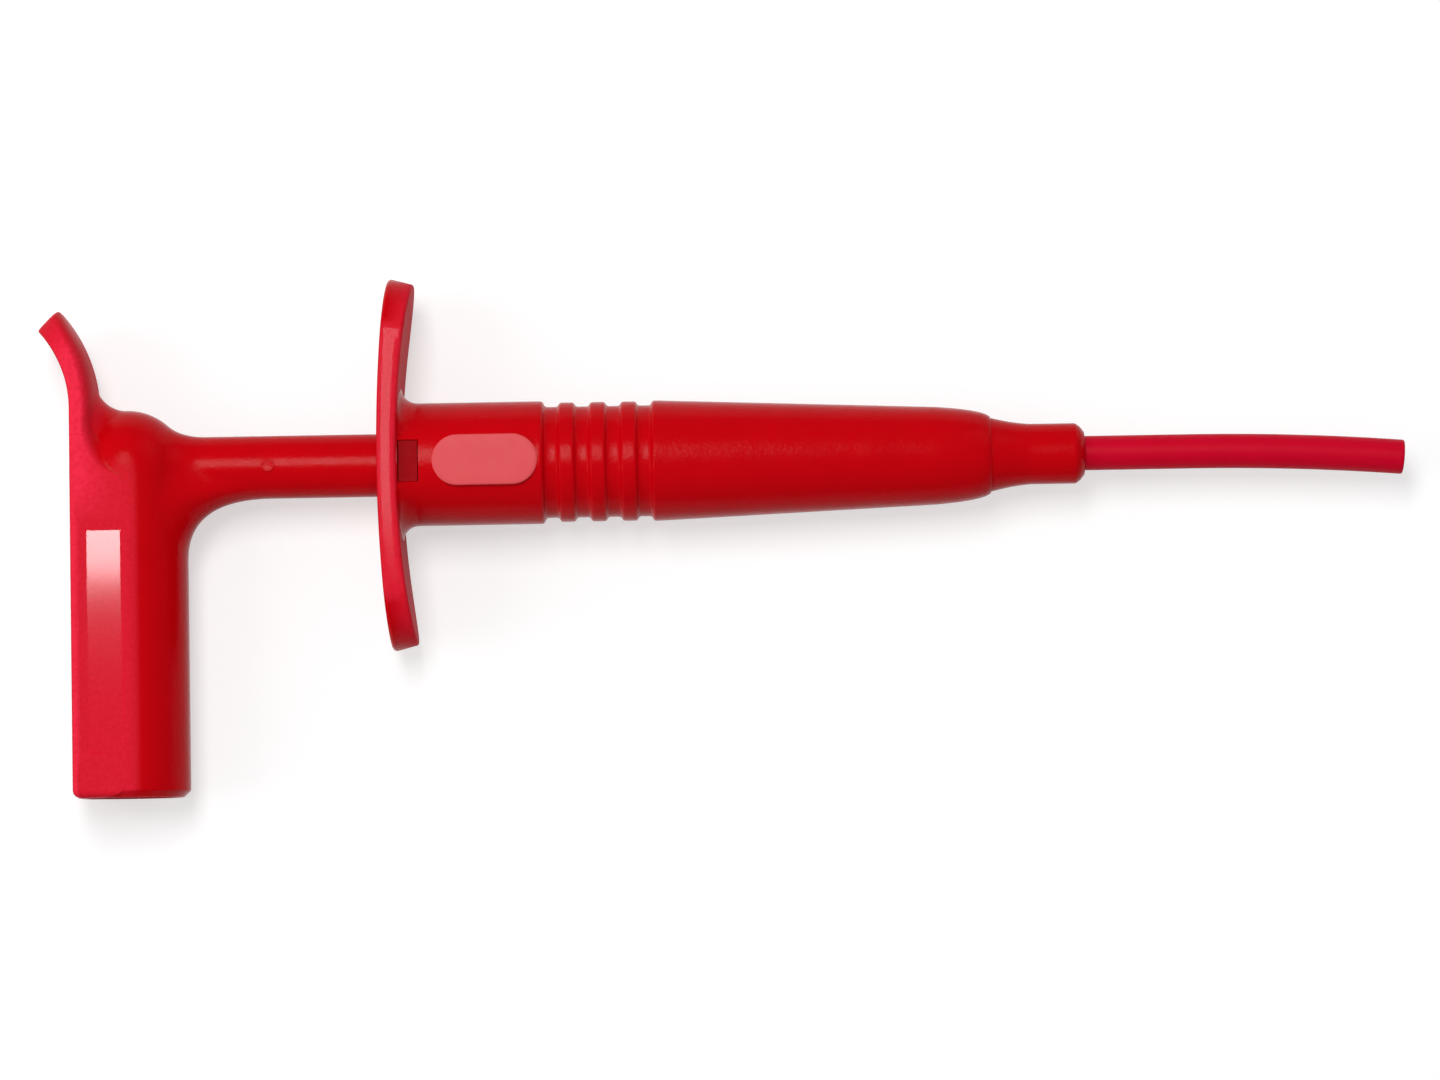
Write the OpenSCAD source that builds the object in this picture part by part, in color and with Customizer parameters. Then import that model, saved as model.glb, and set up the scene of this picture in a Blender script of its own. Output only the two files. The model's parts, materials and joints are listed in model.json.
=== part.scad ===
// Grabber test hook: a push-handle clip with a 4 mm safety socket, a bent tube and two hidden jaws.
// Millimetres. The barrel lies along X, the socket leg along -Y, and the part lies on its side on Z = 0.

/* [Barrel] */
// Diameter of the plain rear part
barrel_d = 12.5; // [11:0.1:15]
// Wall between the spring chamber and the outside
barrel_wall = 1.95; // [1.5:0.05:2.2]
// Length of the plain rear part, from the rear face of the flange
rear_len = 16.8; // [15:0.1:24]
// Number of raised rings in the grip
grip_rings = 3; // [1:1:6]
// One ring and one groove together
grip_pitch = 3.15; // [2.5:0.05:4.5]
// Width of a groove
grip_groove = 1.5; // [0.8:0.05:2]
// Depth of a groove below the rear part
grip_depth = 0.6; // [0.2:0.05:0.8]
// Height of the rings below the rear part
ring_drop = 0.17; // [0:0.01:0.3]
// Length of the tapered front part
taper_len = 28.85; // [20:0.05:50]
// Diameter where the taper ends
taper_end_d = 9.96; // [9:0.02:11]
// Length over which the front lip turns in
lip_len = 5.55; // [2.5:0.05:7]
// Diameter of the front lip
lip_d = 7.8; // [7.4:0.1:8.8]

/* [Finger flange] */
// Span of the flange across the barrel
flange_span = 37.9; // [30:0.1:50]
// Width of the flange, and so the height that the part lies on
flange_w = 13.3; // [13:0.1:18]
// Thickness at the barrel
flange_t = 2.0; // [1.5:0.1:3]
// Thickness at the ends
flange_end_t = 2.7; // [1.5:0.1:3.5]
// How far the ends sweep towards the tip
flange_sweep = 1.1; // [0.4:0.1:4]
// Radius of the fillet between flange and barrel
flange_fillet = 1.7; // [0.6:0.1:2.5]

/* [Label pad and catch windows] */
// Where the pad starts, from the rear face of the flange
pad_from = 5.6; // [4.8:0.1:8]
// Length of the bare pad
pad_l = 10.6; // [6:0.1:11]
// Width of the bare pad
pad_w = 5.1; // [3:0.1:6]
// Height of the pad over the crest of the barrel
pad_rise = 0.12; // [0.05:0.01:0.4]
// Length of a catch window along the barrel
window_l = 2.1; // [1.5:0.1:2.5]
// Width of a catch window around the barrel
window_w = 4.3; // [3:0.1:5]

/* [Handle] */
// From the rear face of the flange back to the axis of the leg
handle_reach = 25.6; // [24.5:0.1:34]
// Diameter of the socket leg
leg_d = 12.0; // [11.4:0.1:13]
// From the barrel axis down to the end of the leg
leg_drop = 33.4; // [31:0.1:44]
// Diameter of the sliding shaft
shaft_d = 6.4; // [5.6:0.1:6.8]
// Radius of the web between leg and shaft
web_r = 6.1; // [3:0.1:7]
// From the axis of the leg back to the thumb face
thumb_back = 5.4; // [4.8:0.1:6.5]
// Width of the thumb face
thumb_w = 12.2; // [12:0.1:13]
// Depth of the bare panel in the side of the leg
panel_depth = 0.12; // [0.05:0.01:0.3]

/* [Thumb wing] */
// Thickness of the wing at its root
wing_t = 2.35; // [1.6:0.05:2.8]
// How much thicker it is at its tip
wing_swell = 0.65; // [0.1:0.05:1]
// Radius of its thumb face
wing_r = 11.3; // [8:0.1:20]
// Angle that it bends through
wing_turn = 46.45; // [20:0.05:60]
// Height over the barrel axis where the bend starts
wing_from = 6.0; // [5.6:0.1:8]
// Corner radius of the tongue end
wing_corner = 4.5; // [1:0.1:5.5]

/* [Safety socket] */
// Bore of the 4 mm contact
socket_d = 4.06; // [4.02:0.01:4.1]
// Depth of that bore
socket_depth = 19.6; // [15:0.1:20]
// Diameter of the recess for the plug's shroud
recess_d = 9.5; // [9.2:0.1:9.8]
// Depth of the finger guard's end behind the mouth
guard_depth = 1.5; // [0.8:0.1:4]

/* [Nose and tube] */
// Diameter of the nose collar
nose_d = 6.1; // [5.4:0.1:6.2]
// Length of the nose outside the barrel
nose_len = 9.55; // [8:0.05:16]
// Outside diameter of the flexible tube
tube_d = 3.5; // [3.4:0.05:3.7]
// Bore of the flexible tube
tube_bore = 2.6; // [2.5:0.05:2.7]
// Length of tube outside the nose, along its path
tube_out = 32.5; // [31:0.1:60]
// Length of the bent stretch at its end
bend_len = 21.75; // [21:0.05:26]
// Radius of the bend, to the tube's axis
bend_r = 250; // [200:10:500]

/* [Mechanism] */
// Stroke of the handle
travel = 10; // [6:0.1:10]
// Mean diameter of the return spring
spring_d = 7.0; // [6.4:0.1:7.2]
// Wire of the return spring
spring_wire = 0.6; // [0.4:0.05:0.7]
// Number of coils
spring_coils = 11; // [6:1:14]
// Diameter of the core rod
rod_d = 2.0; // [1.6:0.1:2.2]
// Diameter of the core cable
cable_d = 1.0; // [0.8:0.05:1.1]
// Length of a jaw from its knuckle to its tip
jaw_l = 9.4; // [8:0.1:9.4]
// Angle that each jaw opens through
jaw_turn = 8; // [2:0.5:8]

/* [Fits] */
// Radial clearance of the shaft in its bush
slide_fit = 0.05; // [0.02:0.01:0.1]
// Radial clearance of seated pieces
seat_fit = 0.02; // [0.01:0.01:0.05]
// Clearance in front of the stop collar
stop_gap = 0.05; // [0.02:0.01:0.2]

/* [Hidden] */
$fn = 72;
eps = 0.01;

barrel_r = barrel_d / 2;
bore_r = barrel_r - barrel_wall;
ring_r = barrel_r - ring_drop;
groove_r = barrel_r - grip_depth;
grip_end = rear_len + grip_rings * grip_pitch + grip_groove;
taper_end = grip_end + taper_len;
barrel_len = taper_end + lip_len;
taper_r = barrel_r - 0.1;
lip_r = lip_d / 2;

key_w = 1.6;
key_h = 0.5;
seat_wall = 2;
plug_len = 10;
plug_r = nose_d / 2;
seat_x = barrel_len - plug_len - seat_wall;
cable_hole_r = cable_d / 2 + 0.5;

outline_spare = 4;
cut_spare = 2;
bush_from = 0.3;
bush_len = 8.2;
bush_end = bush_from + bush_len;
window_from = flange_t + 0.1;
catch_top = barrel_r - 0.55;
catch_gap = 0.1;

shaft_r = shaft_d / 2;
collar_from = bush_end + stop_gap;
collar_len = 2.5;
collar_end = collar_from + collar_len;
collar_r = bore_r - 0.15;
spring_r = spring_d / 2;
wire_r = spring_wire / 2;

leg_x = -handle_reach;
leg_r = leg_d / 2;
thumb_x = leg_x - thumb_back;
thumb_edge = 0.7;
leg_chamfer = 0.8;
thumb_chamfer = 0.45;
wing_root_r = wing_r + wing_t;
wing_end_r = wing_root_r + wing_swell;
wing_lead = (wing_end_r * wing_end_r - wing_root_r * wing_root_r)
  / (2 * wing_root_r - 2 * wing_end_r * cos(wing_turn));
wing_back_r = wing_root_r + wing_lead;
web_stretch = 1.4;
shoulder_low = -0.9;
shoulder_mid = -0.3;
shoulder_drop = 1.7;
shoulder_top = wing_from - shoulder_drop;
shoulder_ease = 0.35;
panel_edge = 0.8;
panel_w = thumb_back - panel_edge + 0.05;
panel_l = 23;
panel_from = 5.9;
pip_x = -1.2 - travel;

rod_r = rod_d / 2;
cable_r = cable_d / 2;
contact_wall = 0.57;
contact_r = socket_d / 2 + contact_wall;
hex_r = contact_r + 0.5;
guard_lip = 0.8;
guard_mouth_r = socket_d / 2 + 0.35;
contact_mouth = guard_depth + guard_lip + 0.1;
guard_r = contact_r + 0.75;
recess_depth = 22;
recess_end = -leg_drop + recess_depth;
guard_flange = 2.5;
contact_top = rod_r + 1.4;
screw_r = 1.25;
bore_end = -leg_drop + contact_mouth + socket_depth;

nose_end = barrel_len + nose_len;
nose_root_r = lip_r - 0.15;
cone_len = 2.7;
flare_r = tube_d / 2 + 0.55;
flare_len = 1;
tube_r = tube_d / 2;
tube_bore_r = tube_bore / 2;
tube_from = barrel_len - plug_len + seat_fit;
bend_x = nose_end + tube_out - bend_len;
bend_turn = bend_len / bend_r * 180 / PI;
bend_step = 0.005;

jaw_y = 0.5;
jaw_t = 0.5;
jaw_w = 0.9;
jaw_inset = 0.5;
hook_l = 0.5;
hook_end = -0.2;
knuckle_r = 0.3;
knuckle_fit = 0.03;
jaw_mid = bend_len - jaw_inset - jaw_l / 2;
jaw_root = jaw_mid - jaw_l / 2;
head_r = tube_bore_r - 0.2;
head_from = 0.15;
head_to = jaw_root + 0.15;
head_mid = (head_from + head_to) / 2;
cable_dip = 2;
cable_play = 0.34;
crimp_from = collar_end + 0.8;
crimp_len = 6;
crimp_mid = crimp_from + crimp_len / 2;

wing_tip_x = thumb_x - wing_r + wing_r * cos(wing_turn);
wing_top = wing_from + (wing_r + wing_t + wing_swell) * sin(wing_turn);
tube_tip_x = bend_x + (bend_r + tube_r) * sin(bend_turn);
mid_x = (wing_tip_x + tube_tip_x) / 2;
top_y = max(flange_span / 2, wing_top);
mid_y = (top_y - leg_drop) / 2;
base_z = max(flange_w, thumb_w, leg_d, barrel_d) / 2;

// Moves from the barrel axis to the part's own origin: bottom centre of its box.
module placed() {
  translate([-mid_x, -mid_y, base_z])
    children();
}

// A round bar along X.
module bar_x(r, from, to) {
  translate([from, 0, 0])
    rotate([0, 90, 0])
      cylinder(r = r, h = to - from);
}

// A round bar along Y on the axis of the leg.
module bar_y(r, from, to) {
  translate([leg_x, from, 0])
    rotate([-90, 0, 0])
      cylinder(r = r, h = to - from);
}

// A hexagonal bar along Y on the axis of the leg, by its corner radius.
module hex_y(r, from, to) {
  translate([leg_x, from, 0])
    rotate([-90, 0, 0])
      cylinder(r = r, h = to - from, $fn = 6);
}

// A turned shape about X, from points [radius, x].
module turned_x(points) {
  rotate([0, 90, 0])
    rotate_extrude()
      polygon(points);
}

// A turned shape about the axis of the leg, from points [radius, y].
module turned_y(points) {
  translate([leg_x, 0, 0])
    rotate([-90, 0, 0])
      rotate_extrude()
        polygon(points);
}

// The frame at a distance along the bent stretch of the tube.
module along_bend(a) {
  turn = a / bend_r * 180 / PI;
  translate([bend_x + bend_r * sin(turn), bend_r * cos(turn) - bend_r, 0])
    rotate([0, 0, -turn])
      children();
}

// Points of a quadratic curve from p to q with its corner at c.
function curve(p, c, q, n) =
  [for (i = [0 : n])
    let (t = i / n)
    p * (1 - t) * (1 - t) + c * 2 * t * (1 - t) + q * t * t];

// Triangles between rings of k points each, closed by a cap at either end.
function ring_faces(rings, k) = concat(
  [[for (j = [0 : k - 1]) j]],
  [for (i = [0 : rings - 2], j = [0 : k - 1])
    [i * k + j, (i + 1) * k + j, (i + 1) * k + (j + 1) % k]],
  [for (i = [0 : rings - 2], j = [0 : k - 1])
    [i * k + j, (i + 1) * k + (j + 1) % k, i * k + (j + 1) % k]],
  [[for (j = [k - 1 : -1 : 0]) (rings - 1) * k + j]]
);

// One grip groove and the ring in front of it, as profile points.
function grip_points(i) =
  let (from = rear_len + i * grip_pitch, to = from + grip_groove, end = from + grip_pitch)
  let (ease = 0.2, low = ring_r - ease)
  concat(
    [[groove_r, from], [groove_r, to]],
    i < grip_rings ? [[low, to], [ring_r, to + ease], [ring_r, end - ease], [low, end]] : []
  );

// The stadium outline of the flange, as a prism along X.
module flange_outline() {
  straight = flange_span - flange_w;
  translate([-1, 0, 0])
    rotate([90, 0, 90])
      linear_extrude(flange_sweep + flange_end_t + flange_fillet + outline_spare)
        union() {
          square([straight, flange_w], center = true);
          for (side = [-1, 1])
            translate([side * straight / 2, 0])
              circle(flange_w / 2);
        }
}

// The flange between two large arcs, so that its ends sweep forward.
module flange_plate() {
  half = flange_span / 2;
  rear_r = (half * half + flange_sweep * flange_sweep) / (2 * flange_sweep);
  rise = flange_sweep + flange_end_t - flange_t;
  front_r = (half * half + rise * rise) / (2 * rise);
  intersection() {
    flange_outline();
    translate([0, 0, -flange_w])
      linear_extrude(2 * flange_w)
        difference() {
          translate([rear_r, 0])
            circle(rear_r, $fn = 360);
          translate([flange_t + front_r, 0])
            circle(front_r, $fn = 360);
          translate([2 * rise + flange_t + 1, -rear_r * 2])
            square(rear_r * 4);
        }
  }
}

// The concave fillet in front of the flange.
module flange_root() {
  foot = flange_t + flange_fillet;
  intersection() {
    flange_outline();
    turned_x(concat(
      [[bore_r + 0.5, flange_t / 2], [barrel_r + flange_fillet, flange_t / 2]],
      curve([barrel_r + flange_fillet, flange_t + 0.25], [barrel_r, flange_t + 0.1], [barrel_r, foot], 8),
      [[bore_r + 0.5, foot]]
    ));
  }
}

// The flat pad on the side of the barrel, without its marking.
module label_pad() {
  straight = pad_l - pad_w;
  intersection() {
    translate([pad_from + pad_w / 2, 0, bore_r + 0.4])
      linear_extrude(barrel_r + pad_rise - bore_r - 0.4)
        union() {
          translate([0, -pad_w / 2])
            square([straight, pad_w]);
          for (x = [0, straight])
            translate([x, 0])
              circle(pad_w / 2);
        }
    bar_x(barrel_r + pad_rise + 1, 0, rear_len);
  }
}

// Tapered moulded barrel with its finger flange, grip, pad, windows and key grooves.
module barrel() {
  color([0.75, 0.02, 0.06])
    placed()
      difference() {
        union() {
          turned_x(concat(
            [[0, flange_t / 2], [barrel_r, flange_t / 2], [barrel_r, rear_len]],
            [for (i = [0 : grip_rings]) each grip_points(i)],
            [[taper_r - 0.25, grip_end], [taper_r, grip_end + 0.25]],
            curve([taper_end_d / 2, taper_end], [lip_r + 0.7, barrel_len - 0.6], [lip_r, barrel_len], 9),
            [[0, barrel_len]]
          ));
          flange_plate();
          flange_root();
          label_pad();
        }
        bar_x(bore_r, -1, seat_x);
        bar_x(cable_hole_r, seat_x - 1, barrel_len);
        bar_x(plug_r + seat_fit, seat_x + seat_wall, barrel_len + 1);
        for (side = [-1, 1]) {
          translate([window_from, -window_w / 2, side > 0 ? bore_r - 0.5 : -2 * barrel_r])
            cube([window_l, window_w, 2 * barrel_r - bore_r + 0.5]);
          translate([-1, side > 0 ? bore_r - 0.5 : -bore_r - key_h, -key_w / 2])
            cube([collar_end + travel + 1.5, key_h + 0.5, key_w]);
        }
      }
}

// Bush that guides the shaft, keyed in the barrel and held by two catches in the windows.
module guide_bush() {
  color([0.62, 0.02, 0.05])
    placed()
      difference() {
        union() {
          bar_x(bore_r - seat_fit, bush_from, bush_end);
          for (side = [-1, 1]) {
            translate([window_from + catch_gap, catch_gap - window_w / 2, side > 0 ? bore_r - 0.5 : -catch_top])
              cube([window_l - 2 * catch_gap, window_w - 2 * catch_gap, catch_top - bore_r + 0.5]);
            translate([bush_from, side > 0 ? bore_r - 0.4 : -bore_r - key_h + 0.05, -key_w / 2 + 0.05])
              cube([bush_len, key_h + 0.35, key_w - 0.1]);
          }
        }
        bar_x(shaft_r + slide_fit, -1, bush_end + 1);
      }
}

// Nose pressed into the front of the barrel: cone, collar and a bore for the tube.
module nose_piece() {
  color([0.72, 0.02, 0.06])
    placed()
      difference() {
        turned_x([
          [0, barrel_len - plug_len + seat_fit],
          [plug_r, barrel_len - plug_len + seat_fit],
          [plug_r, barrel_len],
          [nose_root_r, barrel_len],
          each curve([nose_root_r, barrel_len + 0.15], [nose_d / 2 + 0.14, barrel_len + 0.85 * cone_len],
            [nose_d / 2 + 0.03, barrel_len + 1.5 * cone_len], 7),
          [nose_d / 2 + 0.03, nose_end - 0.95],
          [nose_d / 2 - 0.3, nose_end - 0.45],
          [tube_r + 0.4, nose_end],
          [0, nose_end]
        ]);
        bar_x(tube_r + seat_fit, seat_x, nose_end + 1);
        bar_x(flare_r + seat_fit, seat_x, tube_from + flare_len + seat_fit);
      }
}

// A round bar along the bent stretch, rooted a little before its start.
module bent_bar(r, turn) {
  lead = 0.1;
  translate([bend_x, -bend_r, 0])
    rotate([0, 0, 90 - turn])
      rotate_extrude(angle = turn + lead, $fn = 360)
        translate([bend_r, 0])
          circle(r);
}

// Insulating tube with a flared root and a bent front stretch.
module flexible_tube() {
  color([0.72, 0.03, 0.09])
    placed()
      difference() {
        union() {
          bar_x(flare_r, tube_from, tube_from + flare_len);
          bar_x(tube_r, tube_from, bend_x);
          bent_bar(tube_r - bend_step, bend_turn);
        }
        bar_x(tube_bore_r, tube_from - 1, bend_x);
        bent_bar(tube_bore_r - bend_step, bend_turn + 1);
      }
}

// Compression spring between the stop collar and the wall in the barrel, with closed end coils.
module return_spring() {
  steps = 18;
  sides = 8;
  from = collar_end + wire_r + eps;
  run = seat_x - collar_end - 2 * wire_r - 2 * eps;
  ends = 0.75;
  close = 1.15 * spring_wire;
  count = spring_coils * steps;
  function rise(c) =
    c < ends ? c * close
    : c > spring_coils - ends ? run - (spring_coils - c) * close
    : ends * close + (c - ends) / (spring_coils - 2 * ends) * (run - 2 * ends * close);
  points = [for (i = [0 : count], j = [0 : sides - 1])
    let (a = i / steps * 360, b = (j + 0.5) / sides * 360)
    let (r = spring_r + wire_r * cos(b))
    [from + rise(i / steps) + wire_r * sin(b), r * cos(a), r * sin(a)]];
  color([0.75, 0.76, 0.78])
    placed()
      polyhedron(points, ring_faces(count + 1, sides), convexity = 10);
}

// Outline of the thumb block and wing, seen along Z.
module thumb_outline() {
  reach = wing_r * 3;
  toe = 1.7;
  back = thumb_x + wing_t;
  right = leg_x + 0.2;
  bottom = -leg_drop;
  union() {
    polygon(concat(
      [[thumb_x, bottom + thumb_chamfer], [thumb_x + thumb_chamfer, bottom]],
      [for (i = [0 : 6]) [right - toe + toe * sin(i * 15), bottom + toe - toe * cos(i * 15)]],
      curve([right, shoulder_low], [back + shoulder_ease, shoulder_mid], [back, shoulder_top], 8),
      [[back, wing_from], [thumb_x, wing_from]]
    ));
    translate([thumb_x - wing_r, wing_from])
      intersection() {
        difference() {
          translate([-wing_lead, 0])
            circle(wing_back_r, $fn = 180);
          circle(wing_r, $fn = 180);
        }
        polygon([[0, 0], [reach, 0], [reach, reach * tan(wing_turn / 2)],
          [reach * cos(wing_turn), reach * sin(wing_turn)]]);
      }
  }
}

// What a rounded edge takes off a square one: corner at the origin, solid towards +x and -y.
module edge_waste(r) {
  difference() {
    translate([-1, -r])
      square([r + 1, r + 1]);
    translate([r, -r])
      circle(r, $fn = 32);
  }
}

// Thumb block and wing with a rounded tongue end and rounded thumb edges.
module thumb_piece() {
  tongue_top = wing_top + 1;
  corner = wing_corner;
  half = thumb_w / 2;
  tip_y = wing_from + wing_r * sin(wing_turn);
  tongue_y = (tip_y + wing_top) / 2;
  bend_x0 = thumb_x - wing_r;
  difference() {
    translate([0, 0, -half])
      linear_extrude(thumb_w)
        thumb_outline();
    for (side = [0, 1])
      mirror([0, 0, side]) {
        translate([thumb_x, wing_from, half])
          rotate([90, 0, 0])
            linear_extrude(leg_drop + wing_from + 1)
              edge_waste(thumb_edge);
        translate([thumb_x, -leg_drop, half])
          rotate([45, 0, 0])
            cube([4 * leg_r, leg_chamfer, leg_chamfer], center = true);
        translate([bend_x0, wing_from, half])
          rotate_extrude(angle = wing_turn + 5, $fn = 180)
            translate([wing_r, 0])
              edge_waste(thumb_edge);
        translate([bend_x0 - wing_lead, wing_from, half])
          rotate_extrude(angle = wing_turn + 5, $fn = 180)
            translate([wing_back_r, 0])
              mirror([1, 0])
                edge_waste(thumb_edge);
        translate([bend_x0, wing_from, 0])
          rotate([0, 0, wing_turn])
            translate([wing_r - cut_spare / 2, -corner, half - corner])
              rotate([0, 90, 0])
                linear_extrude(wing_t + wing_swell + cut_spare)
                  mirror([1, 0])
                    difference() {
                      square([corner + 1, corner + 1]);
                      circle(corner, $fn = 64);
                    }
      }
  }
}

// The horn that blends the shaft into the leg: rings from the shaft onto the leg and its dome.
module shaft_horn() {
  n = 12;
  k = 48;
  sink = 0.12;
  root = leg_r + web_stretch * web_r + 1.5;
  function foot(a) = shaft_r + 1.25 + (web_r - 1.25) * pow(max(0, -cos(a)), 2);
  function strip(a) =
    let (d = foot(a), v = d * cos(a), z = d * sin(a), up = max(v, 0))
    let (x = sqrt(leg_r * leg_r - z * z - up * up))
    let (v0 = shaft_r * cos(a), z0 = shaft_r * sin(a))
    let (xc = x - (up * (v0 - v) + z * (z0 - z)) / x)
    let (dip = (leg_r - sink) / leg_r)
    let (end = [x * dip, v, z * dip], corner = [xc, v0, z0])
    let (start = [xc + web_stretch * norm(end - corner), v0 * 0.99, z0 * 0.99])
    concat([[root, v0 * 0.8, z0 * 0.8]], curve(start, corner, end, n), [[0, v * 0.8, z * 0.6]]);
  strips = [for (j = [0 : k - 1]) strip(-(j + 0.5) * 360 / k)];
  points = [for (i = [0 : n + 2], j = [0 : k - 1]) strips[j][i]];
  translate([leg_x, 0, 0])
    polyhedron(points, ring_faces(n + 3, k), convexity = 6);
}

// Fillet between the dome of the leg and the wing, as wide as the wing's flat back allows at each angle.
module wing_root() {
  n = 7;
  k = n + 3;
  turns = [for (a = [80 : -8 : -80]) a];
  largest = 3;
  flat = thumb_back - wing_t;
  core = leg_r / 2;
  sink = 0.05;
  edge = thumb_w / 2 - thumb_edge;
  spread = leg_r * leg_r - flat * flat;
  function high(a) = min(edge / max(abs(sin(a)), 0.01), sqrt(spread + 2 * largest * (leg_r + flat)));
  function section(a) =
    let (r = (high(a) * high(a) - spread) / (2 * (leg_r + flat)), cx = r - flat)
    let (low = [cx, high(a)] * leg_r / (leg_r + r))
    let (corner = [-flat, (leg_r * leg_r + low[0] * flat) / low[1]])
    let (rise = max(high(a) * cos(a) - wing_from, 0), bow = rise * rise / (2 * wing_back_r))
    concat(
      curve([-flat - bow - sink, high(a)], corner, low * (1 - sink / leg_r), n),
      [[low[0] * 0.9, core], [-flat - 5 * sink - bow, core]]
    );
  points = [for (a = turns) let (ring = section(a)) for (p = ring) [p[0], p[1] * cos(a), p[1] * sin(a)]];
  translate([leg_x, 0, 0])
    polyhedron(points, ring_faces(len(turns), k), convexity = 6);
}

// T-handle moulding: socket leg, thumb wing and sliding shaft.
module handle() {
  color([0.77, 0.02, 0.07])
    placed()
      difference() {
        union() {
          turned_y([
            [0, -leg_drop], [leg_r - leg_chamfer, -leg_drop], [leg_r, -leg_drop + leg_chamfer],
            [leg_r, 0], [0, 0]
          ]);
          translate([leg_x, 0, 0])
            sphere(leg_r);
          thumb_piece();
          wing_root();
          shaft_horn();
          bar_x(shaft_r, leg_x, collar_from);
          translate([pip_x, 0, shaft_r - 0.5])
            cylinder(d = 1.4, h = 0.58);
        }
        bar_y(recess_d / 2, -leg_drop - 1, recess_end);
        hex_y(hex_r + 2 * seat_fit, recess_end - 1, contact_top + seat_fit);
        bar_x(rod_r + slide_fit, leg_x - contact_r, collar_from + 1);
        translate([thumb_x + panel_edge, -panel_from - panel_l, thumb_w / 2 - panel_depth])
          cube([panel_w, panel_l, 1]);
      }
}

// Turned 4 mm socket with a hexagonal head, a cross hole for the core rod and a thread for the clamp screw.
module socket_contact() {
  mouth = -leg_drop + contact_mouth;
  color([0.83, 0.80, 0.72])
    placed()
      difference() {
        union() {
          bar_y(contact_r, mouth, contact_top);
          hex_y(hex_r, recess_end + seat_fit, contact_top);
        }
        bar_y(socket_d / 2, mouth - 1, bore_end);
        bar_y(screw_r + seat_fit, bore_end - 1, 0);
        bar_x(rod_r + seat_fit, leg_x - contact_r - 1, leg_x + contact_r + 1);
      }
}

// Insulating sleeve around the contact, with a lip over its mouth and a base seated in the leg.
module finger_guard() {
  color([0.55, 0.02, 0.05])
    placed()
      difference() {
        union() {
          bar_y(guard_r, -leg_drop + guard_depth, recess_end - seat_fit);
          bar_y(recess_d / 2 - seat_fit, recess_end - guard_flange, recess_end - seat_fit);
        }
        bar_y(contact_r + seat_fit, -leg_drop + contact_mouth - 0.1 + eps, recess_end + 1);
        bar_y(guard_mouth_r, -leg_drop, -leg_drop + contact_mouth + 1);
      }
}

// Grub screw in the contact that clamps the core rod.
module clamp_screw() {
  color([0.70, 0.70, 0.72])
    placed()
      difference() {
        bar_y(screw_r, bore_end + 0.2, -rod_r - seat_fit);
        translate([leg_x, bore_end, 0])
          rotate([-90, 0, 0])
            cylinder(r = 0.72, h = 1.6, $fn = 6);
      }
}

// Brass rod from the contact through the shaft.
module core_rod() {
  color([0.80, 0.62, 0.30])
    placed()
      bar_x(rod_r, leg_x - contact_r + 0.1, crimp_mid);
}

// Collar on the rod: stops the shaft behind the bush, carries the keys and seats the spring.
module stop_collar() {
  color([0.20, 0.20, 0.22])
    placed()
      difference() {
        union() {
          bar_x(collar_r, collar_from, collar_end);
          for (side = [-1, 1])
            translate([collar_from, side > 0 ? collar_r - 0.4 : -bore_r - key_h + 0.1, -key_w / 2 + 0.1])
              cube([collar_len, bore_r - collar_r + key_h + 0.3, key_w - 0.2]);
        }
        bar_x(rod_r + seat_fit, collar_from - 1, collar_end + 1);
      }
}

// Sleeve crimped over the end of the rod and the root of the cable.
module crimp_sleeve() {
  color([0.78, 0.66, 0.40])
    placed()
      difference() {
        bar_x(rod_r + 0.45, crimp_from, crimp_from + crimp_len);
        bar_x(rod_r + seat_fit, crimp_from - 1, crimp_mid);
        bar_x(cable_r + seat_fit, crimp_mid - 1, crimp_from + crimp_len + 1);
      }
}

// Flexible cable from the crimp to the hook head.
module core_cable() {
  color([0.72, 0.45, 0.25])
    placed()
      bar_x(cable_r, crimp_mid + eps, bend_x + cable_dip);
}

// Head that the cable pushes along the bend, with a seat for each jaw's knuckle.
module hook_head() {
  half = (head_to - head_from) / 2;
  color([0.80, 0.80, 0.82])
    placed()
      difference() {
        along_bend(head_mid)
          bar_x(head_r, -half, half);
        along_bend(head_mid)
          bar_x(cable_r + cable_play, -half - 1, -half + cable_dip + 0.4);
        along_bend(jaw_mid)
          for (side = [-1, 1])
            translate([-jaw_l / 2, side * jaw_y, -head_r - cut_spare / 2])
              cylinder(r = knuckle_r + knuckle_fit, h = 2 * head_r + cut_spare, $fn = 32);
      }
}

// One spring-steel jaw in its own frame: knuckle, strip and inward hook.
module jaw() {
  union() {
    translate([-jaw_l / 2, jaw_y, -jaw_w / 2])
      cylinder(r = knuckle_r, h = jaw_w, $fn = 32);
    translate([-jaw_l / 2, jaw_y - jaw_t / 2, -jaw_w / 2])
      cube([jaw_l, jaw_t, jaw_w]);
    translate([jaw_l / 2 - hook_l, hook_end, 0.04])
      cube([hook_l, jaw_y + jaw_t / 2 - hook_end, jaw_w / 2 - 0.04]);
  }
}

// Jaw on the +Y side.
module upper_jaw() {
  color([0.82, 0.82, 0.84])
    placed()
      along_bend(jaw_mid)
        jaw();
}

// Jaw on the -Y side, turned over so that the hooks pass each other.
module lower_jaw() {
  color([0.82, 0.82, 0.84])
    placed()
      along_bend(jaw_mid)
        rotate([180, 0, 0])
          jaw();
}

barrel();
guide_bush();
nose_piece();
flexible_tube();
return_spring();
handle();
socket_contact();
finger_guard();
clamp_screw();
core_rod();
stop_collar();
crimp_sleeve();
core_cable();
hook_head();
upper_jaw();
lower_jaw();
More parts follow.
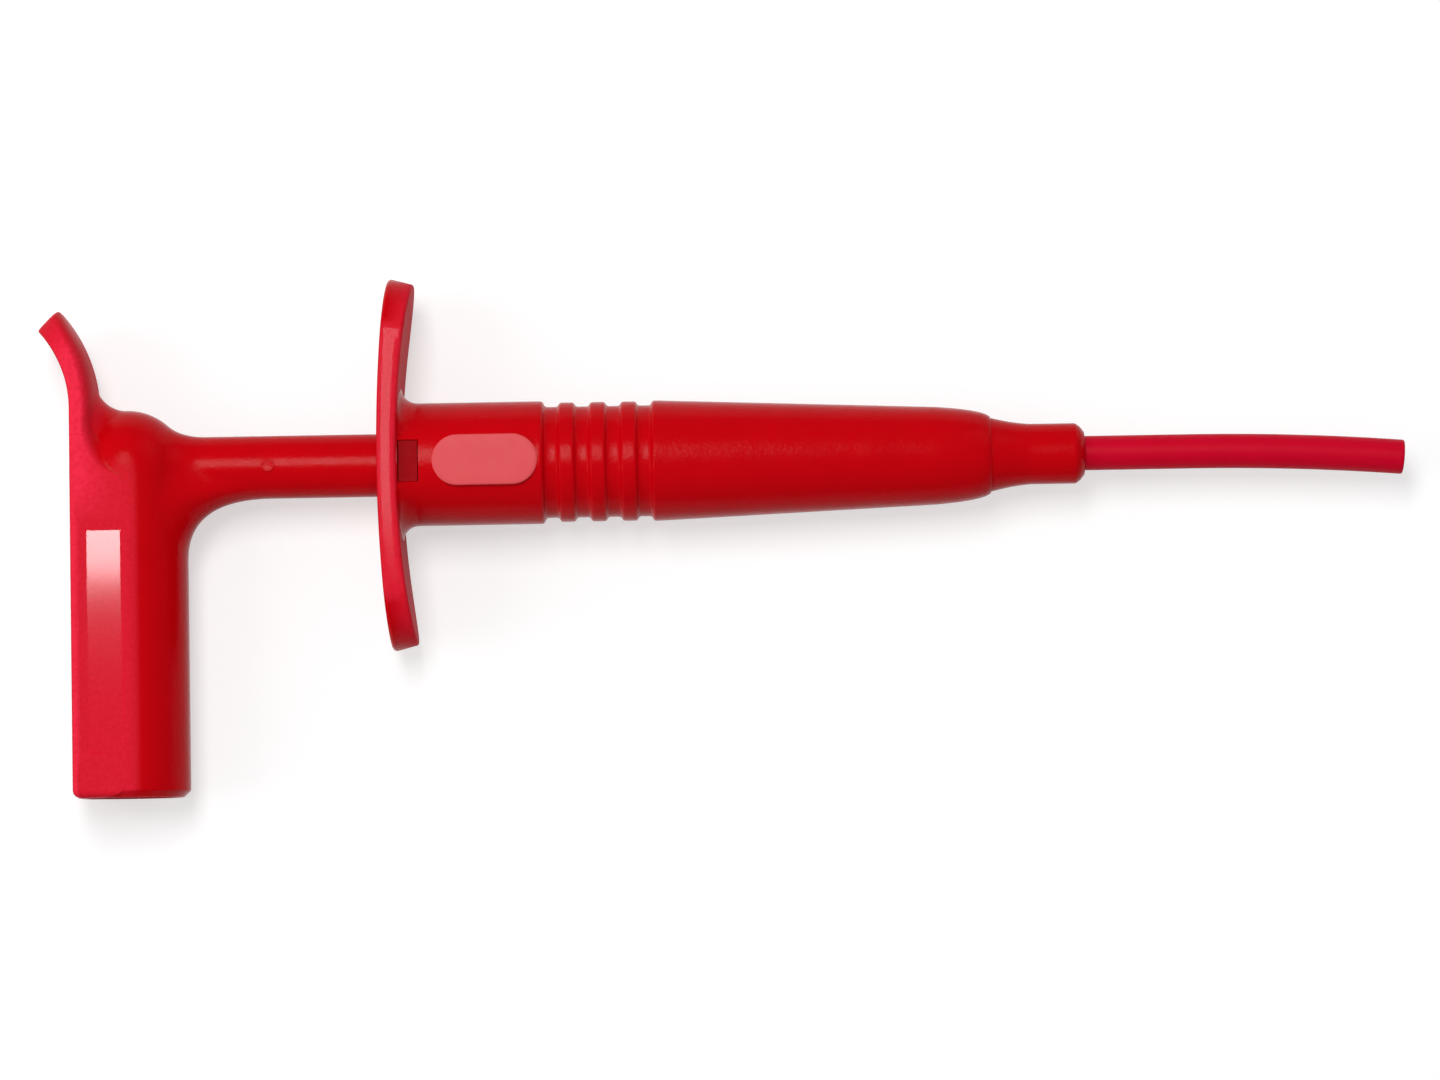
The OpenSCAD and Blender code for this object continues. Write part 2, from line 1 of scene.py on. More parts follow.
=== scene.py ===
# %% [markdown]
# # A grabber test hook, seen from above
# The clip lies on a bench. A T-handle slides in a barrel and pushes two hooked jaws out of a bent tube.
# It is almost all red moulded plastic, so the picture depends on smooth blends, small radii and soft light.
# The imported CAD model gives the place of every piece. Each visible moulding is drawn again over it as numpy
# surfaces, because a formula gives finer blends than the CAD's mesh. The metal inside keeps its CAD mesh.

import json

import bmesh
import bpy
import numpy as np
from mathutils import Matrix, Vector

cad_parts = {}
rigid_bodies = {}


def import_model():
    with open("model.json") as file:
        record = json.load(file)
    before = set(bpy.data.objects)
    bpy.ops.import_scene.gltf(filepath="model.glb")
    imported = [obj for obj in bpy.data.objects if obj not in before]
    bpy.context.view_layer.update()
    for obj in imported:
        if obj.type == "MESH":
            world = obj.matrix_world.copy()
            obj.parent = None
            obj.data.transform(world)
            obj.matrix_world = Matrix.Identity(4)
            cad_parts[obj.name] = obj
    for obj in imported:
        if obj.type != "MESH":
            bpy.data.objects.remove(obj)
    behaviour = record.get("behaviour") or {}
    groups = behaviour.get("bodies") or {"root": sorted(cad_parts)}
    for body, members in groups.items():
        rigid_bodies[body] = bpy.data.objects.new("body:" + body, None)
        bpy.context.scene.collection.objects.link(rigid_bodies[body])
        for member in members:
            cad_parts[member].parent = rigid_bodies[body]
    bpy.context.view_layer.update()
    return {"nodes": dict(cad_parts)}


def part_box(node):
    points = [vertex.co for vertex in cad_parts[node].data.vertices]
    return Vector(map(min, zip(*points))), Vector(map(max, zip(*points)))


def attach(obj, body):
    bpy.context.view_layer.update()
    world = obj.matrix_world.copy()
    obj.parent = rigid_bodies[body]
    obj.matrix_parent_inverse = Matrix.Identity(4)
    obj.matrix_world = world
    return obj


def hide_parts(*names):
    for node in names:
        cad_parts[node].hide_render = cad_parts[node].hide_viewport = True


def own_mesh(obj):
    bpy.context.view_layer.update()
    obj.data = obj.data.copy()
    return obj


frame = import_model()
print("CAD nodes:", len(frame["nodes"]))

# %% [markdown]
# ## Where the drawing starts
# A drawing is easier to read in millimetres from a point that means something.
# Here that point is the middle of the flange's rear face, with X along the barrel's axis.
# The boxes of two CAD nodes tell where it lies in the frame, so every surface lands on its solid.

# %% drawing origin
MM = 0.001
barrel_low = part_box("barrel")[0]
rod_low, rod_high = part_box("core_rod")
ORIGIN = np.array([barrel_low[0], (rod_low[1] + rod_high[1]) / 2, (rod_low[2] + rod_high[2]) / 2])
print("drawing origin at", np.round(ORIGIN / MM, 3), "mm")

# %% [markdown]
# ## From grids to shells
# A closed shell is a grid of points: rings, one after another, with quads between them.
# A flat polygon closes either end, unless the last ring joins the first, as on a tube with a bore.
# Blender's Screw and Bridge tools make such grids by hand. Numbers in an array are easier to change later.


# %% grid to shell
def ring_quads(rings, points, closed):
    """Corner numbers of the quads on a grid, where point j of ring i has the number i * points + j.

    j always goes round, and i goes round if the grid is closed."""
    i = np.arange(rings if closed else rings - 1)[:, None]
    j = np.arange(points)[None, :]
    next_i, next_j = (i + 1) % rings, (j + 1) % points
    return np.stack([i * points + j, i * points + next_j, next_i * points + next_j, next_i * points + j], -1)


def shell(grid, closed=False):
    """(points, polygons) of one closed shell from a grid of rings with the shape (rings, points, 3)."""
    rings, points, _ = grid.shape
    polygons = ring_quads(rings, points, closed).reshape(-1, 4).tolist()
    if not closed:
        polygons += [list(range(points)), list(range((rings - 1) * points, rings * points))]
    return grid.reshape(-1, 3), polygons


print("a closed grid of 3 rings with 4 points has", len(shell(np.zeros((3, 4, 3)), closed=True)[1]), "quads")

# %% [markdown]
# ## From shells to a piece
# A moulding may be several closed shells that meet inside the plastic, where nobody sees the seam.
# Edges of more than 34 degrees stay sharp, and weighted normals keep wide faces flat beside small radii.
# Every piece then rides on a body of the mechanism, so that it follows the joints in a pose.

# %% shells to a piece
SHARP = np.radians(34)
scene = bpy.context.scene


def make(name, shells, material, body, slot, *nodes, masks=()):
    """One object from closed shells in drawing millimetres, riding on a body in place of CAD nodes.

    masks are (attribute name, one value per point) pairs that the finish reads."""
    starts = np.cumsum([0] + [len(points) for points, _ in shells])
    places = np.concatenate([points for points, _ in shells]) * MM + ORIGIN
    polygons = [
        [corner + start for corner in polygon]
        for (_, faces), start in zip(shells, starts)
        for polygon in faces
    ]
    mesh = bpy.data.meshes.new(name)
    mesh.from_pydata(places, [], polygons)
    outward = bmesh.new()
    outward.from_mesh(mesh)
    bmesh.ops.recalc_face_normals(outward, faces=outward.faces)
    outward.to_mesh(mesh)
    outward.free()
    mesh.polygons.foreach_set("use_smooth", np.ones(len(mesh.polygons), bool))
    mesh.set_sharp_from_angle(angle=SHARP)
    for mask, values in masks:
        attribute = mesh.attributes.new(mask, "FLOAT", "POINT")
        attribute.data.foreach_set("value", np.ascontiguousarray(values, np.float32))
    mesh.materials.append(material)
    obj = bpy.data.objects.new(name, mesh)
    scene.collection.objects.link(obj)
    obj.modifiers.new("weighted normals", "WEIGHTED_NORMAL").keep_sharp = True
    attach(obj, body)
    if nodes:
        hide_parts(*nodes)
    print(name, "has", len(places), "points and", len(polygons), "faces")
    return obj


print("edges over", round(np.degrees(SHARP)), "degrees stay sharp")

# %% [markdown]
# ## Profiles with small radii
# A moulded edge is never sharp: its radius of a few tenths of a millimetre catches the light.
# A Bevel modifier could round edges afterwards, but each corner would need a weight for its own radius.
# So the corners of a profile are rounded first, each with the radius that stands beside it.


# %% rounded profiles
def curve(p, c, q, steps):
    """Points p (1-t)^2 + 2 c t (1-t) + q t^2 of a quadratic curve from p to q, pulled towards c."""
    t = np.linspace(0, 1, steps)[:, None]
    return np.array(p) * (1 - t) ** 2 + np.array(c) * 2 * t * (1 - t) + np.array(q) * t**2


def rounded(corners, steps=5, most=0.45):
    """A profile from (x, r, radius) corners, each rounded by a quadratic curve.

    A corner is cut back by radius * tan(turn / 2), and by no more than the share `most` of either side.
    A corner with radius 0 stays one point."""
    p, radius = np.array(corners, float)[:, :2], np.array(corners, float)[1:-1, 2]
    at, to_before, to_after = p[1:-1], p[:-2] - p[1:-1], p[2:] - p[1:-1]
    before_len, after_len = np.linalg.norm(to_before, axis=1), np.linalg.norm(to_after, axis=1)
    straightness = -(to_before * to_after).sum(1) / (before_len * after_len)
    turn = np.arccos(np.clip(straightness, -1, 1))
    cut = np.minimum(radius * np.tan(turn / 2), most * np.minimum(before_len, after_len))
    start = at + to_before * (cut / before_len)[:, None]
    stop = at + to_after * (cut / after_len)[:, None]
    curves = curve(start[:, None], at[:, None], stop[:, None], steps)
    wanted = (radius[:, None] > 0) | (np.arange(steps) == 0)
    return np.concatenate([p[:1], curves[wanted], p[-1:]])


print("a rounded corner has", len(rounded([(0, 1, 0), (1, 1, 0.5), (1, 0, 0)])) - 2, "points")

# %% [markdown]
# ## Turned shapes and fades
# Barrel, nose and leg are round, so their profiles are turned about an axis, as on a lathe.
# Blender's Spin does that too, but rings in an array can still be pressed in or left out afterwards.
# Where one form has to pass into another, a smooth step mixes them, and its slope is level at both ends.


# %% turning and fading
def turned(profile, angles):
    """Rings of a shape turned about X: (x, r cos a, r sin a) for each (x, r) of the profile."""
    x, r = profile[:, 0:1], profile[:, 1:2]
    return np.stack([x + 0 * angles, r * np.cos(angles), r * np.sin(angles)], -1)


def full_turn(points):
    """Angles of points spread evenly round a circle."""
    return np.linspace(0, 2 * np.pi, points, endpoint=False)


def fade(v, low, high):
    """A smooth step 3t^2 - 2t^3 from 0 at low to 1 at high."""
    t = np.clip((v - low) / (high - low), 0, 1)
    return t * t * (3 - 2 * t)


TURN_POINTS = 144
ROUND = full_turn(TURN_POINTS)
print("a turned ring has", TURN_POINTS, "points")

# %% [markdown]
# ## Camera
# The photo's camera looks down at the bench from about 0.6 m, almost square to it, with a long lens.
# Its distance came from the front edges of wing and flange, which look larger than their rear edges.
# A small roll makes the barrel rise to the right, and a small tilt lifts the pad above the barrel's middle.
# The Standard view shows a colour as it is given, so white paper stays white.

# %% camera
ROLL, TILT, DISTANCE = np.radians(1.0), np.radians(3.4), 0.592
LENS, SENSOR = 145.5, 36
AIM_X, AIM_Y = -0.00041, -0.00098
target = Vector((AIM_X, AIM_Y, ORIGIN[2]))
back = Vector((0, -np.sin(TILT), np.cos(TILT)))
right = Vector((np.sin(ROLL), np.cos(ROLL), 0)).cross(back).normalized()
up = back.cross(right)
facing = Matrix((right, up, back)).transposed().to_4x4()
camera = bpy.data.objects.new("camera", bpy.data.cameras.new("camera"))
camera.data.lens, camera.data.sensor_width = LENS, SENSOR
camera.matrix_world = Matrix.Translation(target + back * DISTANCE) @ facing
scene.collection.objects.link(camera)
scene.camera = camera
scene.view_settings.view_transform = "Standard"
print("camera at", [round(c, 3) for c in camera.location])

# %% [markdown]
# ## Light
# Product photos use large soft lamps, so that round plastic shades evenly and highlights stay broad.
# The key lamp hangs beside the camera. The polished panel on the handle mirrors it, which decides its place:
# moved a little, it would leave the panel dark. Weak lamps on either side and a grey world fill the shadows.

# %% lamps and world
WORLD_GREY = 0.27
KEY_X, KEY_Y, KEY_Z, KEY_LEAN = -0.085, 0.169, 0.60, 0.0001

world = bpy.data.worlds.new("studio")
world.use_nodes = True
world.node_tree.nodes["Background"].inputs["Color"].default_value = (WORLD_GREY, WORLD_GREY, WORLD_GREY, 1)
scene.world = world


def lamp(name, place, aim, width, height, radiance):
    """A rectangular area lamp. Its power is radiance * pi * area, so a larger one looks no brighter."""
    light = bpy.data.lights.new(name, "AREA")
    light.shape = "RECTANGLE"
    light.size, light.size_y = width, height
    light.energy = radiance * np.pi * width * height
    obj = bpy.data.objects.new(name, light)
    obj.location = place
    obj.rotation_euler = (Vector(aim) - Vector(place)).to_track_quat("-Z", "Y").to_euler()
    scene.collection.objects.link(obj)
    print(name, "lamp of", round(light.energy, 2), "W")


# The key lamp leans a hair, so that its longer side lies along Y.
lamp("key", (KEY_X, KEY_Y, KEY_Z), (KEY_X, KEY_Y - KEY_LEAN, 0), width=0.15, height=0.281, radiance=15.0)
lamp("left", (-0.60, 0.00, 0.42), (0, 0, 0), width=0.40, height=0.50, radiance=2.3)
lamp("right", (0.45, 0.50, 0.36), (0, 0, 0), width=0.45, height=0.45, radiance=0.5)

# %% [markdown]
# ## White paper
# The clip lies on white paper. Paper that is only lit turns grey far from the lamps, and over-lit paper
# loses the contact shadow. So the paper is partly lit and partly glows, and the two add up to white.
# The glow is there only for rays from the camera, from a reflection or through something clear.
# Other rays don't see it, so the glow doesn't light the clip from below.

# %% paper
PAPER_LIT, PAPER_GLOW, PAPER_ROUGHNESS = 0.55, 0.57, 0.9

paper = bpy.data.materials.new("paper")
paper.use_nodes = True
paper_tree = paper.node_tree
paper_shader = paper_tree.nodes["Principled BSDF"]
paper_shader.inputs["Base Color"].default_value = (PAPER_LIT, PAPER_LIT, PAPER_LIT, 1)
paper_shader.inputs["Emission Color"].default_value = (PAPER_GLOW, PAPER_GLOW, PAPER_GLOW, 1)
paper_shader.inputs["Roughness"].default_value = PAPER_ROUGHNESS
paper_shader.inputs["Specular IOR Level"].default_value = 0
path = paper_tree.nodes.new("ShaderNodeLightPath")
seen = path.outputs["Is Camera Ray"]
for ray in ("Is Glossy Ray", "Is Transmission Ray"):
    either = paper_tree.nodes.new("ShaderNodeMath")
    either.operation = "MAXIMUM"
    paper_tree.links.new(seen, either.inputs[0])
    paper_tree.links.new(path.outputs[ray], either.inputs[1])
    seen = either.outputs["Value"]
paper_tree.links.new(seen, paper_shader.inputs["Emission Strength"])
print("paper: lit share", PAPER_LIT, "and glow", PAPER_GLOW)

# %% [markdown]
# ## Floor
# The sheet is far larger than the clip, so its edge stays out of the picture from every side.
# A plane from the Add menu would do as well, and four corners in a list are just as short.
# It lies a tenth of a millimetre below the clip, so that the two never share a face.

# %% floor
FLOOR_HALF, FLOOR_Z = 4.0, -0.0001
signs = ((-1, -1), (1, -1), (1, 1), (-1, 1))
floor_mesh = bpy.data.meshes.new("floor")
floor_mesh.from_pydata([(x * FLOOR_HALF, y * FLOOR_HALF, 0) for x, y in signs], [], [(0, 1, 2, 3)])
floor_mesh.materials.append(paper)
floor = bpy.data.objects.new("floor", floor_mesh)
floor.location.z = FLOOR_Z
scene.collection.objects.link(floor)
print("paper floor,", 2 * FLOOR_HALF, "m wide")

# %% [markdown]
# ## Placing shader nodes
# A shader can be wired in the editor or in code. In code, the same three lines come back for every node:
# make it, set its options, fill its inputs. One helper takes them up, and a graph then reads like a recipe.


# %% node helper
def add_node(tree, kind, inputs, **options):
    """A new node with its options; an input is linked where a socket is given, and set where a value is."""
    node = tree.nodes.new(kind)
    for name, value in options.items():
        setattr(node, name, value)
    for name, value in inputs.items():
        if isinstance(value, bpy.types.NodeSocket):
            tree.links.new(value, node.inputs[name])
        else:
            node.inputs[name].default_value = value
    return node


print("node helper ready")

# %% [markdown]
# ## Grain of the mouldings
# Spark-eroded mould walls leave a fine grain on the plastic, and the melt leaves faint clouds in the colour.
# Image textures would need unwrapped meshes. Noise in object coordinates needs none, and stays on the piece.
# All mouldings share the effect, so it is one node group. It puts out what varies over the surface:
# a tint between two colours, a roughness with patches, a bumped normal, and a speckle that the flats use.

# %% grain group
CLOUDS, PATCHES, GRAINS = 260, 900, 2800
NOISE_LOW, NOISE_HIGH = 0.3, 0.7
PATCH_DEPTH, SPECKLE_LOW, SPECKLE_HIGH = 0.05, 0.72, 1.12
GRAIN_HEIGHT = 0.00004


def grain_group():
    """Node group: clouds mix Deep and Light, roughness is Gloss + patches, and grains bump the normal."""
    group = bpy.data.node_groups.new("moulded grain", "ShaderNodeTree")
    takes = {"Light": "Color", "Deep": "Color", "Gloss": "Float", "Grain": "Float"}
    gives = {"Tint": "Color", "Roughness": "Float", "Normal": "Vector", "Speckle": "Float"}
    for side, sockets in (("INPUT", takes), ("OUTPUT", gives)):
        for name, kind in sockets.items():
            group.interface.new_socket(name, in_out=side, socket_type="NodeSocket" + kind)
    given = add_node(group, "NodeGroupInput", {}).outputs
    place = add_node(group, "ShaderNodeTexCoord", {}).outputs["Object"]

    def noise(scale, detail):
        """Noise in object coordinates, with a scale in grains per metre."""
        inputs = {"Vector": place, "Scale": scale, "Detail": detail}
        return add_node(group, "ShaderNodeTexNoise", inputs).outputs["Fac"]

    def spread(value, low, high):
        """The middle range of a noise, spread evenly from low to high."""
        limits = {"From Min": NOISE_LOW, "From Max": NOISE_HIGH, "To Min": low, "To Max": high}
        return add_node(group, "ShaderNodeMapRange", {"Value": value, **limits}).outputs["Result"]

    grains = noise(GRAINS, detail=3)
    colours = {"Factor": noise(CLOUDS, detail=3), "A": given["Deep"], "B": given["Light"]}
    tint = add_node(group, "ShaderNodeMix", colours, data_type="RGBA")
    patches = spread(noise(PATCHES, detail=2), -PATCH_DEPTH, PATCH_DEPTH)
    roughness = add_node(group, "ShaderNodeMath", {0: given["Gloss"], 1: patches}, operation="ADD")
    relief = {"Distance": GRAIN_HEIGHT, "Strength": given["Grain"], "Height": grains}
    add_node(group, "NodeGroupOutput", {
        "Tint": tint.outputs["Result"],
        "Roughness": roughness.outputs["Value"],
        "Normal": add_node(group, "ShaderNodeBump", relief).outputs["Normal"],
        "Speckle": spread(grains, SPECKLE_LOW, SPECKLE_HIGH),
    })
    return group


GRAIN = grain_group()
print("grain group has", len(GRAIN.nodes), "nodes")

# %% [markdown]
# ## Red, crimson and black plastic
# The clip is moulded in signal red, its tube is extruded in a softer crimson, and inner parts are a darker
# red, darkened further as painted shade where the catch lies deep in its window.
# Each is a Principled shader fed by the grain group. What is the same all over is set on the shader itself.
# The specular level is far below the usual 0.5, because this plastic mirrors very little of the white floor.


# %% plastics
def moulding(name, light, deep, gloss, grain, shine=0.05):
    """A plastic with tint, roughness and normal from the grain group, and a constant specular level."""
    material = bpy.data.materials.new(name)
    material.use_nodes = True
    tree = material.node_tree
    inputs = {"Light": (*light, 1), "Deep": (*deep, 1), "Gloss": gloss, "Grain": grain}
    group = add_node(tree, "ShaderNodeGroup", inputs, node_tree=GRAIN, name="grain")
    shader = tree.nodes["Principled BSDF"]
    for socket, output in (("Base Color", "Tint"), ("Roughness", "Roughness"), ("Normal", "Normal")):
        tree.links.new(group.outputs[output], shader.inputs[socket])
    shader.inputs["Specular IOR Level"].default_value = shine
    return material


RED = moulding("red moulding", (0.64, 0.0006, 0.0050), (0.57, 0.0005, 0.0040), gloss=0.21, grain=0.6)
TUBE_RED = moulding(
    "crimson tube", (0.69, 0.0010, 0.025), (0.62, 0.0008, 0.020), gloss=0.42, grain=0.5, shine=0.07
)
# The inner parts' own darker red, darkened further as painted shade for the catch in its window.
DARK_RED_AND_SHADE = moulding(
    "dark red moulding and painted shade", (0.38, 0.001, 0.005), (0.33, 0.001, 0.004), gloss=0.45, grain=0.3, shine=0.03
)
# The pad's pale pink is partly its own colour and partly a painted reflection of the key lamp.
PAD_RED_AND_SHEEN = moulding("pad red and painted sheen", (0.82, 0.100, 0.112), (0.76, 0.086, 0.096), gloss=0.36, grain=0.5)
BLACK = moulding("black moulding", (0.03, 0.03, 0.032), (0.024, 0.024, 0.026), gloss=0.5, grain=0.3)
print("plastics:", [m.name for m in (RED, TUBE_RED, DARK_RED_AND_SHADE, PAD_RED_AND_SHEEN, BLACK)])

# %% [markdown]
# ## Flats, their painted sheen, and the panel
# On the real clip the flat sides look pinker and duller than the round faces: the pink is the lamps' sheen on
# them. The panel on the leg is polished: it mirrors the lamp as a white patch. Separate materials would leave
# a hard line between them. Instead the mesh carries two attributes, one for the flats and one for the panel,
# that each shape works out for its own points. The red reads them as masks: the flats' mask mixes in a higher
# roughness and a lighter pink tint, which is a painted sheen, and the panel's mask lays on a thin coat.

# %% flats of the red
# The flats' tint is a painted sheen: a lighter pink in place of the lamps' light mirrored on flat faces.
FLAT_SHEEN_TINT, FLAT_ROUGHNESS, FLAT_SOON = (0.97, 0.024, 0.066), 0.60, 2.5
PANEL_COAT_ROUGHNESS = 0.06


def add_flats(material):
    """Mixes the painted sheen's pink tint in by the mask times speckle, and the flats' roughness by 2.5 times
    the mask, both held to 0..1.
    """
    tree = material.node_tree
    shader = tree.nodes["Principled BSDF"]
    flat = add_node(tree, "ShaderNodeAttribute", {}, attribute_name="flat").outputs["Fac"]
    panel = add_node(tree, "ShaderNodeAttribute", {}, attribute_name="panel").outputs["Fac"]
    speckle = tree.nodes["grain"].outputs["Speckle"]
    for socket, kind, finish, gain in (
        ("Base Color", "RGBA", (*FLAT_SHEEN_TINT, 1), speckle),
        ("Roughness", "FLOAT", FLAT_ROUGHNESS, FLAT_SOON),
    ):
        mask = add_node(tree, "ShaderNodeMath", {0: flat, 1: gain}, operation="MULTIPLY", use_clamp=True)
        before = shader.inputs[socket].links[0].from_socket
        parts = {"Factor": mask.outputs["Value"], "A": before, "B": finish}
        mix = add_node(tree, "ShaderNodeMix", parts, data_type=kind)
        tree.links.new(mix.outputs["Result"], shader.inputs[socket])
    tree.links.new(panel, shader.inputs["Coat Weight"])
    shader.inputs["Coat Roughness"].default_value = PANEL_COAT_ROUGHNESS


add_flats(RED)
print("nodes in the red:", len(RED.node_tree.nodes))

# %% [markdown]
# ## Metals
# The contact is nickelled brass, rod and cable are bare brass, and spring, screw and jaws are grey steel.
# They hardly show, so plain constants on the shader are enough. The steel is dark and a little rough:
# a bright one would mirror the white paper, and the jaws would vanish on it.


# %% metals
def metal(name, colour, roughness):
    """A plain metal: constants only, set on the shader itself."""
    material = bpy.data.materials.new(name)
    material.use_nodes = True
    shader = material.node_tree.nodes["Principled BSDF"]
    shader.inputs["Base Color"].default_value = (*colour, 1)
    shader.inputs["Metallic"].default_value = 1
    shader.inputs["Roughness"].default_value = roughness
    return material


NICKEL = metal("nickelled brass", (0.72, 0.69, 0.62), roughness=0.22)
BRASS = metal("bare brass", (0.70, 0.47, 0.20), roughness=0.30)
STEEL = metal("spring steel", (0.36, 0.37, 0.38), roughness=0.42)
print("metals:", [m.name for m in (NICKEL, BRASS, STEEL)])

# %% [markdown]
# ## Barrel
# The barrel is one moulding, round all along: a plain rear, a grip of four grooves with soft rings between,
# a long taper, and a lip that turns in to the nose. A Screw modifier could turn such a profile.
# Here the rings are computed, because cells of a grid can be left out, and the windows need that.

# %% barrel profile
BARREL_R, RING_R, GROOVE_R, FRONT_R, BORE_R = 6.25, 6.08, 5.65, 6.15, 4.3
BARREL_FROM, WINDOW_FROM, WINDOW_TO, GRIP_FROM, GRIP_END = 0.8, 2.1, 4.2, 16.8, 27.75
GROOVES, PITCH, GROOVE_W, SLANT, SOFT = 4, 3.15, 1.5, 0.12, 0.5
TAPER_END, TAPER_R, BARREL_END, LIP_R = 56.6, 4.98, 62.15, 3.9
LIP_PULL, LIP_STEPS = (61.55, 4.6), 14
WALL_X, SEAT_X, SEAT_R, CABLE_HOLE_R = 50.15, 52.2, 3.08, 1.0

corners = [(x, BARREL_R, 0) for x in (BARREL_FROM, WINDOW_FROM, WINDOW_TO)]
corners += [(GRIP_FROM - SLANT, BARREL_R, SOFT)]
for groove in range(GROOVES):
    x = GRIP_FROM + groove * PITCH
    corners += [(x + SLANT, GROOVE_R, SOFT), (x + GROOVE_W - SLANT, GROOVE_R, SOFT)]
    if groove < GROOVES - 1:
        corners += [(x + GROOVE_W + SLANT, RING_R, SOFT), (x + PITCH - SLANT, RING_R, SOFT)]
corners += [(GRIP_END + SLANT, FRONT_R, SOFT), (TAPER_END, TAPER_R, 0)]
lip = curve((TAPER_END, TAPER_R), LIP_PULL, (BARREL_END, LIP_R), LIP_STEPS)[1:]
bore = np.array([
    (BARREL_END, SEAT_R), (SEAT_X, SEAT_R), (SEAT_X, CABLE_HOLE_R), (WALL_X, CABLE_HOLE_R), (WALL_X, BORE_R),
    (WINDOW_TO, BORE_R), (WINDOW_FROM, BORE_R), (BARREL_FROM, BORE_R),
])
barrel_profile = np.concatenate([rounded(corners), lip, bore])
print("barrel profile:", len(barrel_profile), "points")

# %% [markdown]
# ## Catch windows
# The bush inside the barrel snaps into a small window on either side, and its catch shows there, in a
# darker red that partly paints the shade in the window.
# A Boolean would cut the windows, but it leaves long thin faces that shade badly.
# The grid has columns at the windows' sides and rows at their ends. So the cells between are left out,
# outside and in the bore, and strips of quads join the two rims.

# %% barrel body with its windows
WINDOW_HALF, WINDOW_COLUMNS, BETWEEN_COLUMNS = 2.15, 9, 56
TOP, UNDERSIDE = np.pi / 2, 1.5 * np.pi
window_turn = np.arcsin(WINDOW_HALF / BARREL_R)
over_window = np.linspace(-window_turn, window_turn, WINDOW_COLUMNS)
between = np.linspace(window_turn, np.pi - window_turn, BETWEEN_COLUMNS + 2)[1:-1]
barrel_turn = np.concatenate([
    TOP + over_window, TOP + between, UNDERSIDE + over_window, UNDERSIDE + between,
])
barrel_rings = turned(barrel_profile, barrel_turn)
rows, columns = barrel_rings.shape[:2]
outer_row, bore_row = 1, rows - 3

kept = np.ones((rows, columns), bool)
walls = []
for first in (0, WINDOW_COLUMNS + BETWEEN_COLUMNS):
    window = np.arange(first, first + WINDOW_COLUMNS)
    kept[np.ix_((outer_row, bore_row), window[:-1])] = False
    rear_out, front_out, front_in, rear_in = (
        row * columns + window for row in (outer_row, outer_row + 1, bore_row, bore_row + 1)
    )
    for rim, sill in ((rear_out, rear_in), (front_out, front_in)):
        walls.append(np.stack([rim[:-1], rim[1:], sill[1:], sill[:-1]], -1))
    for end in (0, -1):
        walls.append(np.array([[rear_out[end], front_out[end], front_in[end], rear_in[end]]]))
barrel_quads = np.concatenate([ring_quads(rows, columns, True)[kept], *walls])
barrel_body = (barrel_rings.reshape(-1, 3), barrel_quads.tolist())
print("barrel body:", rows, "rings of", columns, "points,", np.sum(~kept), "cells left out")

# %% [markdown]
# ## Finger flange: outline and faces
# Two fingers pull on this plate while the thumb pushes. It is a stadium, and its ends sweep towards the tip.
# It could be a flat plate bent by a Simple Deform modifier. Here both faces are parabolas in Y,
# so each sweep is one number, and other pieces can ask for the place of a face.

# %% flange outline and faces
FLANGE_HALF, FLANGE_STRAIGHT, FLANGE_R, FLANGE_T, FLANGE_EDGE = 18.95, 12.3, 6.65, 2.0, 0.42
REAR_SWEEP, FRONT_SWEEP, FLANGE_LEAN = 1.1, 1.8, 0.5


def stadium(points, straight, radius):
    """Points (y, z) spread evenly round a stadium.

    The first half is a half circle at +y and a straight side. The second is the first, turned by half."""
    arc, line = np.pi * radius, 2 * straight
    way = np.linspace(0, 1, points, endpoint=False) * 2 * (arc + line)
    part, second = np.mod(way, arc + line), way >= arc + line
    turn = np.clip(part / arc, 0, 1) * np.pi - np.pi / 2
    y = np.where(part > arc, straight - (part - arc), straight + radius * np.cos(turn))
    z = np.where(part > arc, radius, radius * np.sin(turn))
    return np.where(second, -1, 1)[:, None] * np.stack([y, z], -1)


def rear_face(y):
    """Rear face of the flange: x = 1.1 (y / 18.95)^2."""
    return REAR_SWEEP * (y / FLANGE_HALF) ** 2


def front_face(y):
    """Front face of the flange: x = 2 + 1.8 (y / 18.95)^2."""
    return FLANGE_T + FRONT_SWEEP * (y / FLANGE_HALF) ** 2


def lean(yz):
    """Outline of the front face: the ends lean in, as on a bent plate, by 0.5 (y / 18.95)^3."""
    return yz - np.stack([FLANGE_LEAN * (yz[..., 0] / FLANGE_HALF) ** 3, 0 * yz[..., 0]], -1)


print("flange ends sweep", REAR_SWEEP, "mm behind and", FRONT_SWEEP, "mm in front")

# %% [markdown]
# ## Finger flange: rings
# A plate with a hole needs faces that follow both outlines, or its shading shows long triangles.
# So rings grow from the bush's hole to the rim, turn over a small radius, and come back on the front face.

# %% flange rings
FLANGE_POINTS, FACE_RINGS, EDGE_RINGS = 288, 13, 5


def lay(yz, x):
    """Rings of points (x, y, z) from outline points (y, z) and their x."""
    return np.concatenate([x[..., None], yz], -1)


